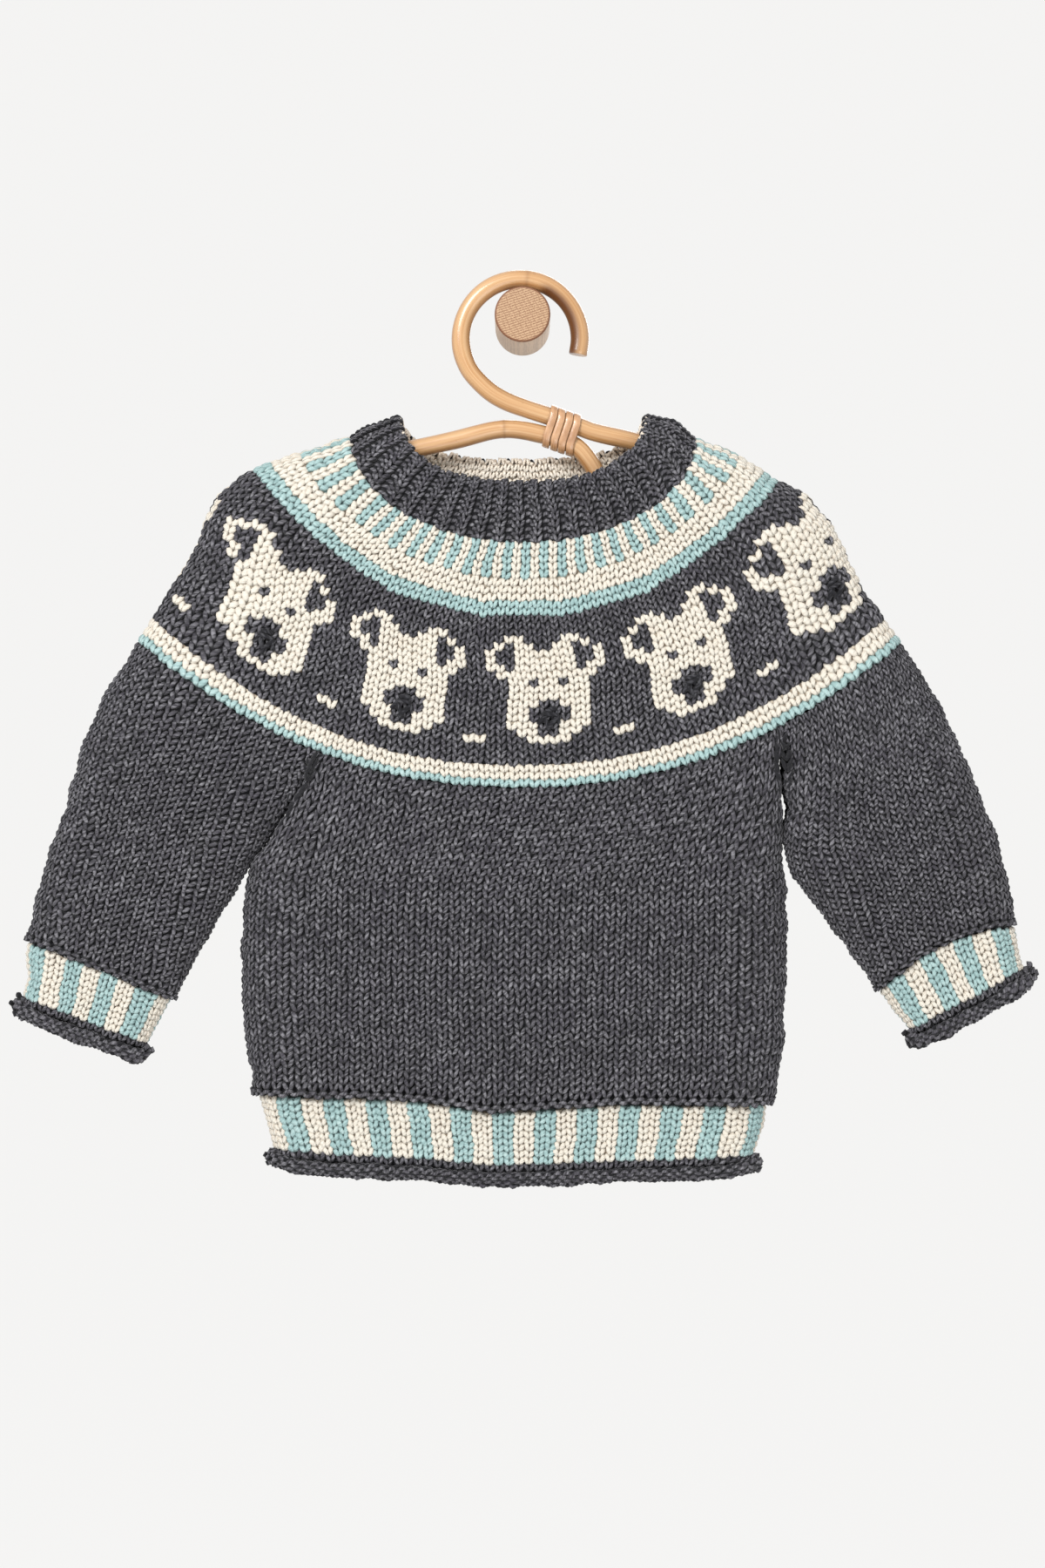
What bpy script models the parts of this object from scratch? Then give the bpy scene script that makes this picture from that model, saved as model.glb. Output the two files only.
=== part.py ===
"""A baby's hand-knit yoke sweater, hanging flat on a cane hanger whose hook rests on a round wall peg.

Metres, +Z up, front towards -Y. The origin is the middle of the peg's back face, which meets the wall.
The sweater is a set of flattened tubes: each is read from a short table of rows, and a row gives the two
folded edges, how far its front and back lines sag between them, and how thick the flattened tube is.
"""

import math
from collections import namedtuple

import bmesh
import bpy
from mathutils import Vector

# Cloth, seams and the plane that the hanger and the sweater hang in
WALL = 0.003
SEAM = 0.0005
HANG_Y = -0.036
FRONT = -1.0
BACK = 1.0
LINE_STEPS = 64

# Wall peg
PEG_RADIUS = 0.014
PEG_LENGTH = 0.045
PEG_EDGE = 0.0012
PEG_SIDES = 32

# A quarter circle cut into two chords: how much of the edge is left at its middle point
EDGE_MIDDLE = 0.3

# Hanger canes: the hook and right arm are one cane, the left arm and a short tail the other
CANE_RADIUS = 0.0047
CANE_SIDES = 10
CANE_STEPS = 34
CAP_STEPS = 3
CURVE_STEPS = 12
HOOK_RADIUS = 0.0301
HOOK_X = -0.0011
HOOK_CLEARANCE = 0.0003
HOOK_Z = PEG_RADIUS + HOOK_CLEARANCE + CANE_RADIUS - HOOK_RADIUS
HOOK_TIP_ANGLE = -15.0
HOOK_END_ANGLE = 218.0
HOOK_ARC_POINTS = 16

# Binding of four strips round both canes
BINDING_X = 0.0198
BINDING_Z = -0.0576
BINDING_SLOPE = math.radians(19.4)
BINDING_LENGTH = 0.0165
BINDING_STRIPS = 4
BINDING_SIDES = 20
STRIP_CLEARANCE = 0.0003
STRIP_THIN = 0.0009
STRIP_THICK = 0.0016
STRIP_EDGES = (0.04, 0.96)
CANE_SPREAD = 2.0 * CANE_RADIUS + 0.0004

# Yoke: where the body's front ends and the sleeves begin along its lowest row, as shares of that row
UNDERARM_LEFT = 0.26
UNDERARM_RIGHT = 0.81
FOLD_SHARE = 0.12
YOKE_STEPS = 8
UNDERARM_DROP = 0.0100
UNDERARM_GAP = 0.0021
YOKE_SEAM = 0.0007

# Share of half a round that the underarm stitches take in the body and in each sleeve
BODY_GUSSET = 0.04
SLEEVE_GUSSET = 0.09
BODY_BLEND = 0.32
SLEEVE_BLEND = 0.35
BODY_STEPS = 9
SLEEVE_STEPS = 9

# Purl ridge that ends the body, standing proud of it
RIDGE_TOP = 0.935
RIDGE_SHARE = 0.968
RIDGE_WIDTH = 0.022
RIDGE_HEIGHT = 0.0020

# Ribbed neckband with its facing
RIBS = 50
RIB_HEIGHT = 0.0016
NECKBAND_STEPS = 3
NECKBAND_WIDTH = 0.028
RIB_RELIEF = (0.5, 0.0, -0.5, 0.0)
FACING_THICKNESS = 0.0014
FACING_GAP = 0.0004
FACING_COLUMNS = 36

# Rolled edges
HEM_ROLL_RADIUS = 0.0037
CUFF_ROLL_RADIUS = 0.0042
ROLL_SIDES = 7
HEM_STEPS = 3
CUFF_STEPS = 2

# Share of half a round that each fold takes, where the points stand closer
SLEEVE_FOLD = 0.22
CUFF_FOLD = 0.25
HEM_FOLD = 0.10

# How much of the uneven lower edge each round of the hem band, and the roll, follows
BAND_DIP_WEIGHTS = (1.0, 0.8, 0.6, 0.4)
ROLL_DIP_WEIGHT = 0.4

Row = namedtuple(
    "Row",
    "share left_x left_z right_x right_z sag_front sag_back curve fullness depth fold_run",
)
CanePoint = namedtuple("CanePoint", "x z")
Dip = namedtuple("Dip", "share drop")
Crease = namedtuple("Crease", "across down length width angle depth")

# From the neckband seam down to the row where body and sleeves part
YOKE = (
    Row(0.00, -0.0867, -0.0607, 0.0876, -0.0607, 0.0545, 0.0410, 2.0, 0.50, 0.0170, 0.040),
    Row(0.15, -0.1122, -0.0690, 0.1096, -0.0706, 0.0637, 0.0530, 2.1, 0.75, 0.0170, 0.042),
    Row(0.30, -0.1368, -0.0778, 0.1307, -0.0831, 0.0713, 0.0640, 2.3, 1.00, 0.0165, 0.044),
    Row(0.40, -0.1500, -0.0871, 0.1426, -0.0902, 0.0753, 0.0690, 2.3, 1.00, 0.0163, 0.045),
    Row(0.50, -0.1584, -0.0981, 0.1531, -0.1016, 0.0763, 0.0710, 2.3, 1.00, 0.0160, 0.045),
    Row(0.60, -0.1628, -0.1113, 0.1597, -0.1130, 0.0761, 0.0720, 2.3, 1.00, 0.0155, 0.045),
    Row(0.80, -0.1778, -0.1377, 0.1725, -0.1381, 0.0748, 0.0715, 2.2, 1.00, 0.0145, 0.045),
    Row(1.00, -0.1936, -0.1632, 0.1914, -0.1636, 0.0737, 0.0710, 2.2, 1.00, 0.0140, 0.045),
)

# From the yoke up to the neckline
NECKBAND = (
    Row(0.00, -0.0867, -0.0607, 0.0876, -0.0607, 0.0545, 0.0410, 2.0, 0.50, 0.0170, 0.040),
    Row(0.50, -0.0761, -0.0541, 0.0770, -0.0532, 0.0468, 0.0335, 2.2, 0.50, 0.0172, 0.038),
    Row(1.00, -0.0638, -0.0506, 0.0638, -0.0501, 0.0363, 0.0227, 2.6, 0.50, 0.0165, 0.034),
)

# From the underarms down to the purl ridge
BODY = (
    Row(0.00, -0.1032, -0.2292, 0.1290, -0.2226, 0.0120, 0.0120, 2.2, 1.00, 0.0140, 0.030),
    Row(0.10, -0.1126, -0.2455, 0.1300, -0.2398, 0.0105, 0.0105, 2.2, 1.00, 0.0140, 0.030),
    Row(0.20, -0.1258, -0.2618, 0.1316, -0.2569, 0.0095, 0.0095, 2.2, 1.00, 0.0142, 0.030),
    Row(0.30, -0.1370, -0.2780, 0.1314, -0.2745, 0.0085, 0.0085, 2.2, 1.00, 0.0146, 0.030),
    Row(0.40, -0.1403, -0.2943, 0.1328, -0.2917, 0.0080, 0.0080, 2.2, 1.00, 0.0150, 0.030),
    Row(0.55, -0.1417, -0.3190, 0.1333, -0.3176, 0.0072, 0.0072, 2.2, 1.00, 0.0152, 0.030),
    Row(0.70, -0.1410, -0.3436, 0.1324, -0.3432, 0.0062, 0.0062, 2.2, 1.00, 0.0148, 0.030),
    Row(0.85, -0.1390, -0.3678, 0.1311, -0.3691, 0.0050, 0.0050, 2.2, 1.00, 0.0136, 0.028),
    Row(1.00, -0.1342, -0.3924, 0.1252, -0.3963, 0.0036, 0.0036, 2.2, 1.00, 0.0120, 0.026),
)

# From the body's ridge down to the roll, just inside the ridge
HEM_BAND = (
    Row(0.00, -0.1326, -0.3934, 0.1236, -0.3973, 0.0036, 0.0036, 2.2, 1.00, 0.0106, 0.024),
    Row(0.50, -0.1285, -0.4075, 0.1200, -0.4108, 0.0045, 0.0045, 2.2, 1.00, 0.0104, 0.023),
    Row(1.00, -0.1236, -0.4226, 0.1148, -0.4250, 0.0053, 0.0053, 2.2, 1.00, 0.0104, 0.022),
)
HEM_ROLL = Row(0.0, -0.1258, -0.4268, 0.1168, -0.4292, 0.0051, 0.0051, 2.2, 1.0, 0.0108, 0.020)

# How unevenly the body's lower edge hangs along its width
HEM_DIPS = (
    Dip(0.00, 0.0000),
    Dip(0.20, -0.0022),
    Dip(0.33, -0.0020),
    Dip(0.45, 0.0022),
    Dip(0.56, 0.0006),
    Dip(0.70, -0.0018),
    Dip(0.85, -0.0008),
    Dip(1.00, 0.0010),
)

# Left sleeve, outer fold on the left, from the yoke to the cuff
SLEEVE_LEFT = (
    Row(0.0, -0.1936, -0.1632, -0.1036, -0.2292, 0.0000, 0.0000, 2.0, 1.0, 0.0140, 0.030),
    Row(0.2, -0.2116, -0.1918, -0.1183, -0.2512, 0.0020, 0.0020, 2.0, 1.0, 0.0136, 0.028),
    Row(0.4, -0.2235, -0.2217, -0.1349, -0.2728, 0.0020, 0.0020, 2.0, 1.0, 0.0128, 0.026),
    Row(0.6, -0.2319, -0.2516, -0.1486, -0.2961, 0.0015, 0.0015, 2.0, 1.0, 0.0120, 0.024),
    Row(0.8, -0.2427, -0.2829, -0.1624, -0.3194, 0.0005, 0.0010, 2.0, 1.0, 0.0110, 0.021),
    Row(1.0, -0.2499, -0.3150, -0.1766, -0.3445, -0.0010, 0.0010, 2.0, 1.0, 0.0100, 0.019),
)
CUFF_LEFT = (
    Row(0.0, -0.2491, -0.3160, -0.1778, -0.3446, -0.0010, 0.0010, 2.0, 1.0, 0.0092, 0.018),
    Row(1.0, -0.2514, -0.3460, -0.1907, -0.3689, 0.0000, 0.0000, 2.0, 1.0, 0.0090, 0.017),
)
CUFF_ROLL_LEFT = Row(0.0, -0.2530, -0.3502, -0.1923, -0.3731, 0.0, 0.0, 2.0, 1.0, 0.0092, 0.016)

# Right sleeve, underarm on the left, from the yoke to the cuff
SLEEVE_RIGHT = (
    Row(0.0, 0.1294, -0.2226, 0.1914, -0.1636, 0.0000, 0.0000, 2.0, 1.0, 0.0140, 0.030),
    Row(0.2, 0.1320, -0.2490, 0.2077, -0.1905, 0.0030, 0.0030, 2.0, 1.0, 0.0136, 0.028),
    Row(0.4, 0.1329, -0.2752, 0.2211, -0.2182, 0.0020, 0.0030, 2.0, 1.0, 0.0128, 0.026),
    Row(0.6, 0.1480, -0.2978, 0.2331, -0.2471, 0.0000, 0.0020, 2.0, 1.0, 0.0120, 0.024),
    Row(0.8, 0.1640, -0.3190, 0.2431, -0.2765, -0.0045, 0.0000, 2.0, 1.0, 0.0110, 0.021),
    Row(1.0, 0.1800, -0.3400, 0.2490, -0.3071, -0.0080, -0.0010, 2.0, 1.0, 0.0100, 0.019),
)
CUFF_RIGHT = (
    Row(0.0, 0.1810, -0.3402, 0.2485, -0.3080, -0.0080, -0.0010, 2.0, 1.0, 0.0092, 0.018),
    Row(1.0, 0.1960, -0.3616, 0.2526, -0.3310, 0.0010, 0.0000, 2.0, 1.0, 0.0090, 0.017),
)
CUFF_ROLL_RIGHT = Row(0.0, 0.1980, -0.3656, 0.2548, -0.3348, 0.0010, 0.0, 2.0, 1.0, 0.0092, 0.016)

# Centre lines of the canes away from the hook's arc and the binding
HOOK_NECK = (
    CanePoint(-0.0167, -0.0376),
    CanePoint(-0.0079, -0.0428),
    CanePoint(0.0022, -0.0465),
)
RIGHT_ARM = (
    CanePoint(0.0576, -0.0633),
    CanePoint(0.0876, -0.0718),
    CanePoint(0.1082, -0.0807),
    CanePoint(0.1225, -0.0893),
)
LEFT_ARM = (
    CanePoint(-0.1330, -0.0877),
    CanePoint(-0.1232, -0.0835),
    CanePoint(-0.1030, -0.0765),
    CanePoint(-0.0704, -0.0700),
    CanePoint(-0.0352, -0.0624),
    CanePoint(-0.0100, -0.0567),
)
TAIL = (
    CanePoint(0.0335, -0.0725),
    CanePoint(0.0385, -0.0818),
    CanePoint(0.0425, -0.0950),
)

# Soft creases, as shares across and down a piece
SLEEVE_LEFT_CREASES = (
    Crease(0.86, 0.20, 0.030, 0.0075, 35.0, 0.0026),
    Crease(0.72, 0.38, 0.036, 0.0090, 20.0, 0.0016),
)
SLEEVE_RIGHT_CREASES = (
    Crease(0.16, 0.24, 0.032, 0.0070, -30.0, 0.0030),
    Crease(0.30, 0.42, 0.038, 0.0090, -15.0, 0.0016),
)


def clear_scene():
    """Remove what the file opened with."""
    for item in list(bpy.data.objects):
        bpy.data.objects.remove(item, do_unlink=True)


def smooth(share):
    """An even ease from 0 to 1."""
    share = min(max(share, 0.0), 1.0)
    return share * share * (3.0 - 2.0 * share)


def spread(start, stop, count):
    """Even steps from start, which is left out, to stop."""
    return [start + (stop - start) * step / count for step in range(1, count + 1)]


def fold_shares(fold, fold_count, flat_count):
    """Shares of a half round with more points in its folds than between them."""
    return (
        [0.0]
        + spread(0.0, fold, fold_count)
        + spread(fold, 1.0 - fold, flat_count)
        + spread(1.0 - fold, 1.0, fold_count)
    )


def read_table(rows, share):
    """Reads a table of rows smoothly at any share: a cubic through the rows on either side."""
    last = len(rows) - 1
    place = 0
    while place < last - 1 and rows[place + 1].share < share:
        place += 1
    here = rows[place]
    after = rows[place + 1]
    span = after.share - here.share
    part = (share - here.share) / span
    before_row = rows[max(place - 1, 0)]
    later_row = rows[min(place + 2, last)]
    square = part * part
    cube = square * part
    values = [share]
    for start, stop, before, later in zip(here[1:], after[1:], before_row[1:], later_row[1:]):
        rise_in = (stop - before) / (after.share - before_row.share)
        rise_out = (later - start) / (later_row.share - here.share)
        values.append(
            start * (2.0 * cube - 3.0 * square + 1.0)
            + rise_in * span * (cube - 2.0 * square + part)
            + stop * (3.0 * square - 2.0 * cube)
            + rise_out * span * (cube - square)
        )
    return type(here)(*values)


def row_line(row, side):
    """The line that a row takes from its left fold to its right one, in the hanging plane."""
    left = Vector((row.left_x, 0.0, row.left_z))
    right = Vector((row.right_x, 0.0, row.right_z))
    chord = right - left
    down = Vector((chord.z, 0.0, -chord.x)).normalized()
    sag = row.sag_front if side == FRONT else row.sag_back
    points = []
    for step in range(LINE_STEPS + 1):
        across = -math.cos(math.pi * step / LINE_STEPS)
        drop = sag * (1.0 - abs(across) ** row.curve) ** row.fullness
        points.append(left + chord * (across + 1.0) / 2.0 + down * drop)
    return points


def along(points, distance):
    """The point at a distance along a line of points."""
    for start, stop in zip(points, points[1:]):
        length = (stop - start).length
        if distance <= length or stop is points[-1]:
            return start + (stop - start) * (distance / length)
        distance -= length
    return points[-1].copy()


def row_points(row, side, shares):
    """Points at even shares of a row's half round, from its left fold over one side to its right fold."""
    line = row_line(row, side)
    length = sum((stop - start).length for start, stop in zip(line, line[1:]))
    turn = math.pi / 2.0 * math.sqrt((row.fold_run ** 2 + row.depth ** 2) / 2.0)
    total = length - 2.0 * row.fold_run + 2.0 * turn
    points = []
    for share in shares:
        reach = min(share, 1.0 - share) * total
        if reach < turn:
            angle = math.pi / 2.0 * reach / turn
            inset = row.fold_run * (1.0 - math.cos(angle))
            depth = row.depth * math.sin(angle)
        else:
            inset = row.fold_run + reach - turn
            depth = row.depth
        point = along(line, inset if share < 0.5 else length - inset)
        point.y = HANG_Y + side * depth
        points.append(point)
    return points


def ring_points(row, shares):
    """A whole round: the front from left to right, then the back from right to left."""
    front = row_points(row, FRONT, shares)
    back = row_points(row, BACK, shares)
    return front + back[-2:0:-1]


def gusset_points(side, corner, shares):
    """The underarm stitches on one side, from the middle of the fold up to the yoke's corner."""
    points = []
    for share in shares:
        angle = math.pi / 2.0 * share
        point = corner.copy()
        point.y = HANG_Y + (corner.y - HANG_Y) * math.sin(angle)
        point.z = corner.z - UNDERARM_DROP * math.cos(angle)
        points.append(point)
    return points


def yoke_edge(side, shares):
    """Points just under the yoke's lowest row."""
    points = row_points(read_table(YOKE, 1.0), side, shares)
    for point in points:
        point.z -= YOKE_SEAM
    return points


def body_top(side, shares):
    """The body's first row on one side, from the left underarm to the right one."""
    points = []
    for share in shares:
        if share < BODY_GUSSET:
            corner = yoke_edge(side, [UNDERARM_LEFT])[0]
            points += gusset_points(side, corner, [share / BODY_GUSSET])
        elif share > 1.0 - BODY_GUSSET:
            corner = yoke_edge(side, [UNDERARM_RIGHT])[0]
            points += gusset_points(side, corner, [(1.0 - share) / BODY_GUSSET])
        else:
            part = (share - BODY_GUSSET) / (1.0 - 2.0 * BODY_GUSSET)
            points += yoke_edge(side, [UNDERARM_LEFT + part * (UNDERARM_RIGHT - UNDERARM_LEFT)])
    return points


def left_sleeve_top(side, shares):
    """The left sleeve's first row on one side, from the outer fold to the underarm."""
    points = []
    for share in shares:
        if share > 1.0 - SLEEVE_GUSSET:
            corner = yoke_edge(side, [UNDERARM_LEFT])[0]
            point = gusset_points(side, corner, [(1.0 - share) / SLEEVE_GUSSET])[0]
        else:
            point = yoke_edge(side, [UNDERARM_LEFT * share / (1.0 - SLEEVE_GUSSET)])[0]
        point.x -= UNDERARM_GAP * smooth((share - 0.5) * 2.0)
        points.append(point)
    return points


def right_sleeve_top(side, shares):
    """The right sleeve's first row on one side, from the underarm to the outer fold."""
    points = []
    for share in shares:
        if share < SLEEVE_GUSSET:
            corner = yoke_edge(side, [UNDERARM_RIGHT])[0]
            point = gusset_points(side, corner, [share / SLEEVE_GUSSET])[0]
        else:
            part = (share - SLEEVE_GUSSET) / (1.0 - SLEEVE_GUSSET)
            point = yoke_edge(side, [UNDERARM_RIGHT + part * (1.0 - UNDERARM_RIGHT)])[0]
        point.x += UNDERARM_GAP * smooth(1.0 - share * 2.0)
        points.append(point)
    return points


def tube_grid(rows, steps, shares, top=None, blend=0.0):
    """Rounds of a flattened tube: they leave the given first row and soon follow the table."""
    tops = {}
    for side in (FRONT, BACK):
        if top:
            first = row_points(read_table(rows, 0.0), side, shares)
            tops[side] = [aim - start for aim, start in zip(top(side, shares), first)]
    grid = []
    for share in steps:
        row = read_table(rows, share)
        halves = {}
        for side in (FRONT, BACK):
            points = row_points(row, side, shares)
            if top:
                hold = 1.0 - smooth(share / blend)
                points = [point + shift * hold for point, shift in zip(points, tops[side])]
            halves[side] = points
        grid.append(halves[FRONT] + halves[BACK][-2:0:-1])
    return grid


def grid_normals(grid, closed=True):
    """Outward directions at a grid's points, from the points beside them."""
    normals = []
    for place, ring in enumerate(grid):
        above = grid[max(place - 1, 0)]
        below = grid[min(place + 1, len(grid) - 1)]
        count = len(ring)
        line = []
        for column in range(count):
            ahead = (column + 1) % count if closed else min(column + 1, count - 1)
            behind = (column - 1) % count if closed else max(column - 1, 0)
            across = ring[ahead] - ring[behind]
            down = below[column] - above[column]
            line.append(across.cross(down).normalized() * -1.0)
        normals.append(line)
    return normals


def moved(grid, normals, distance):
    """A grid moved along its outward directions."""
    return [
        [point + normal * distance for point, normal in zip(ring, line)]
        for ring, line in zip(grid, normals)
    ]


def creased(grid, normals, creases, columns_front):
    """Presses soft creases into the front and, mirrored in depth, into the back of a tube."""
    rounds = len(grid) - 1
    result = [[point.copy() for point in ring] for ring in grid]
    for crease in creases:
        row = round(crease.down * rounds)
        column = round(crease.across * columns_front)
        centre = grid[row][column]
        lean = math.radians(crease.angle)
        run = Vector((math.cos(lean), 0.0, math.sin(lean)))
        rise = Vector((-math.sin(lean), 0.0, math.cos(lean)))
        for place, ring in enumerate(grid):
            for column, point in enumerate(ring):
                offset = point - centre
                far = (offset.dot(run) / crease.length) ** 2 + (offset.dot(rise) / crease.width) ** 2
                press = crease.depth * math.exp(-far)
                result[place][column] -= normals[place][column] * press
    return result


def make_object(name, mesh_builder, material, sharp=35.0):
    """An object whose mesh is closed, faces outwards and is shaded smooth but at sharp edges."""
    mesh = bpy.data.meshes.new(name)
    bmesh.ops.recalc_face_normals(mesh_builder, faces=mesh_builder.faces[:])
    mesh_builder.to_mesh(mesh)
    mesh_builder.free()
    mesh.shade_smooth()
    mesh.set_sharp_from_angle(angle=math.radians(sharp))
    mesh.materials.append(material)
    item = bpy.data.objects.new(name, mesh)
    bpy.context.scene.collection.objects.link(item)
    return item


def add_sheet(builder, grid, closed):
    """Adds a grid's points and its faces."""
    lines = [[builder.verts.new(point) for point in ring] for ring in grid]
    for upper, lower in zip(lines, lines[1:]):
        count = len(upper)
        for column in range(count if closed else count - 1):
            ahead = (column + 1) % count
            builder.faces.new((upper[column], upper[ahead], lower[ahead], lower[column]))
    return lines


def add_rim(builder, outer, inner, closed):
    """Joins the edges of the two faces of a wall."""
    count = len(outer)
    for column in range(count if closed else count - 1):
        ahead = (column + 1) % count
        builder.faces.new((outer[column], outer[ahead], inner[ahead], inner[column]))


def cloth_wall(name, outer, inner, material, closed=True):
    """A cloth wall between an outer and an inner grid of points."""
    builder = bmesh.new()
    outer_lines = add_sheet(builder, outer, closed)
    inner_lines = add_sheet(builder, inner, closed)
    add_rim(builder, outer_lines[0], inner_lines[0], closed)
    add_rim(builder, outer_lines[-1], inner_lines[-1], closed)
    if not closed:
        for place in (0, -1):
            add_rim(
                builder,
                [line[place] for line in outer_lines],
                [line[place] for line in inner_lines],
                closed=False,
            )
    return make_object(name, builder, material)


def closed_sweep(name, centres, radius, sides, material):
    """A round tube along a closed ring of centres."""
    builder = bmesh.new()
    count = len(centres)
    rings = []
    for place, centre in enumerate(centres):
        ahead = (centres[(place + 1) % count] - centres[place - 1]).normalized()
        outward = ahead.cross(Vector((0.0, 0.0, 1.0))).normalized()
        upward = outward.cross(ahead).normalized()
        ring = []
        for step in range(sides):
            angle = 2.0 * math.pi * step / sides
            reach = outward * math.cos(angle) + upward * math.sin(angle)
            ring.append(builder.verts.new(centre + reach * radius))
        rings.append(ring)
    for place in range(count):
        here = rings[place]
        after = rings[(place + 1) % count]
        for step in range(sides):
            turn = (step + 1) % sides
            builder.faces.new((here[step], here[turn], after[turn], after[step]))
    return make_object(name, builder, material)


def curve_through(points, steps):
    """Even points on a smooth curve through the given ones."""
    dense = []
    last = len(points) - 1
    for place in range(last):
        before = points[max(place - 1, 0)]
        start = points[place]
        stop = points[place + 1]
        after = points[min(place + 2, last)]
        for step in range(CURVE_STEPS):
            part = step / CURVE_STEPS
            dense.append(0.5 * (
                2.0 * start
                + (stop - before) * part
                + (2.0 * before - 5.0 * start + 4.0 * stop - after) * part ** 2
                + (3.0 * start - before - 3.0 * stop + after) * part ** 3
            ))
    dense.append(points[-1].copy())
    length = sum((stop - start).length for start, stop in zip(dense, dense[1:]))
    return [along(dense, length * step / steps) for step in range(steps + 1)]


def cane(name, centres, radius, material, round_start, round_end):
    """A cane of one thickness along its centre line, with a rounded or a square-cut end."""
    builder = bmesh.new()
    facing = Vector((0.0, -1.0, 0.0))
    directions = []
    for place in range(len(centres)):
        ahead = centres[min(place + 1, len(centres) - 1)]
        behind = centres[max(place - 1, 0)]
        directions.append((ahead - behind).normalized())
    stations = [(centre, direction, radius) for centre, direction in zip(centres, directions)]
    if round_start:
        for step in range(1, CAP_STEPS):
            angle = math.pi / 2.0 * step / CAP_STEPS
            centre = centres[0] - directions[0] * radius * math.sin(angle)
            stations.insert(0, (centre, directions[0], radius * math.cos(angle)))
    if round_end:
        for step in range(1, CAP_STEPS):
            angle = math.pi / 2.0 * step / CAP_STEPS
            centre = centres[-1] + directions[-1] * radius * math.sin(angle)
            stations.append((centre, directions[-1], radius * math.cos(angle)))
    rings = []
    for centre, direction, size in stations:
        rise = direction.cross(facing).normalized()
        ring = []
        for step in range(CANE_SIDES):
            angle = 2.0 * math.pi * step / CANE_SIDES
            reach = facing * math.cos(angle) + rise * math.sin(angle)
            ring.append(builder.verts.new(centre + reach * size))
        rings.append(ring)
    for here, after in zip(rings, rings[1:]):
        for step in range(CANE_SIDES):
            turn = (step + 1) % CANE_SIDES
            builder.faces.new((here[step], here[turn], after[turn], after[step]))
    builder.faces.new(rings[0])
    builder.faces.new(rings[-1])
    return make_object(name, builder, material)


def binding_point(run, rise):
    """A point on the canes' plane, measured from the binding's middle along and across the canes."""
    ahead = Vector((math.cos(BINDING_SLOPE), 0.0, -math.sin(BINDING_SLOPE)))
    upward = Vector((math.sin(BINDING_SLOPE), 0.0, math.cos(BINDING_SLOPE)))
    return Vector((BINDING_X, HANG_Y, BINDING_Z)) + ahead * run + upward * rise


def plane_points(table):
    """Points of a table, placed in the hanging plane."""
    return [Vector((point.x, HANG_Y, point.z)) for point in table]


def hook_route():
    """The hook's arc from its tip, its neck, the straight run in the binding and the right arm."""
    points = []
    for step in range(HOOK_ARC_POINTS + 1):
        angle = math.radians(HOOK_TIP_ANGLE + (HOOK_END_ANGLE - HOOK_TIP_ANGLE) * step / HOOK_ARC_POINTS)
        points.append(Vector((
            HOOK_X + HOOK_RADIUS * math.cos(angle),
            HANG_Y,
            HOOK_Z + HOOK_RADIUS * math.sin(angle),
        )))
    points += plane_points(HOOK_NECK)
    half = BINDING_LENGTH / 2.0
    points += [binding_point(run, CANE_SPREAD / 2.0) for run in (-half, half, 2.0 * half)]
    points += plane_points(RIGHT_ARM)
    return points


def arm_route():
    """The left arm, the straight run in the binding and the tail that bends down behind the neckband."""
    half = BINDING_LENGTH / 2.0
    points = plane_points(LEFT_ARM)
    points += [binding_point(run, -CANE_SPREAD / 2.0) for run in (-half, half)]
    points += plane_points(TAIL)
    return points


def stadium(reach, spread_by, sides):
    """Across and depth places round two circles that stand one above the other."""
    places = []
    for step in range(sides):
        angle = 2.0 * math.pi * step / sides
        rise = math.sin(angle) * reach
        shift = spread_by / 2.0 if math.sin(angle) >= 0.0 else -spread_by / 2.0
        places.append((rise + shift, math.cos(angle) * reach))
    return places


def make_binding(material):
    """Four flat strips side by side, wound round both canes."""
    builder = bmesh.new()
    inner_reach = CANE_RADIUS + STRIP_CLEARANCE
    profile = []
    strip = BINDING_LENGTH / BINDING_STRIPS
    for place in range(BINDING_STRIPS):
        start = -BINDING_LENGTH / 2.0 + place * strip
        profile.append((start + strip * STRIP_EDGES[0], inner_reach + STRIP_THIN))
        profile.append((start + strip / 2.0, inner_reach + STRIP_THICK))
        profile.append((start + strip * STRIP_EDGES[1], inner_reach + STRIP_THIN))
    loop = profile + [(profile[-1][0], inner_reach), (profile[0][0], inner_reach)]
    rings = []
    for run, reach in loop:
        ring = []
        for rise, depth in stadium(reach, CANE_SPREAD, BINDING_SIDES):
            point = binding_point(run, rise)
            point.y = HANG_Y - depth
            ring.append(builder.verts.new(point))
        rings.append(ring)
    for place in range(len(rings)):
        here = rings[place]
        after = rings[(place + 1) % len(rings)]
        for step in range(BINDING_SIDES):
            turn = (step + 1) % BINDING_SIDES
            builder.faces.new((here[step], here[turn], after[turn], after[step]))
    return make_object("binding", builder, material)


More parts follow.
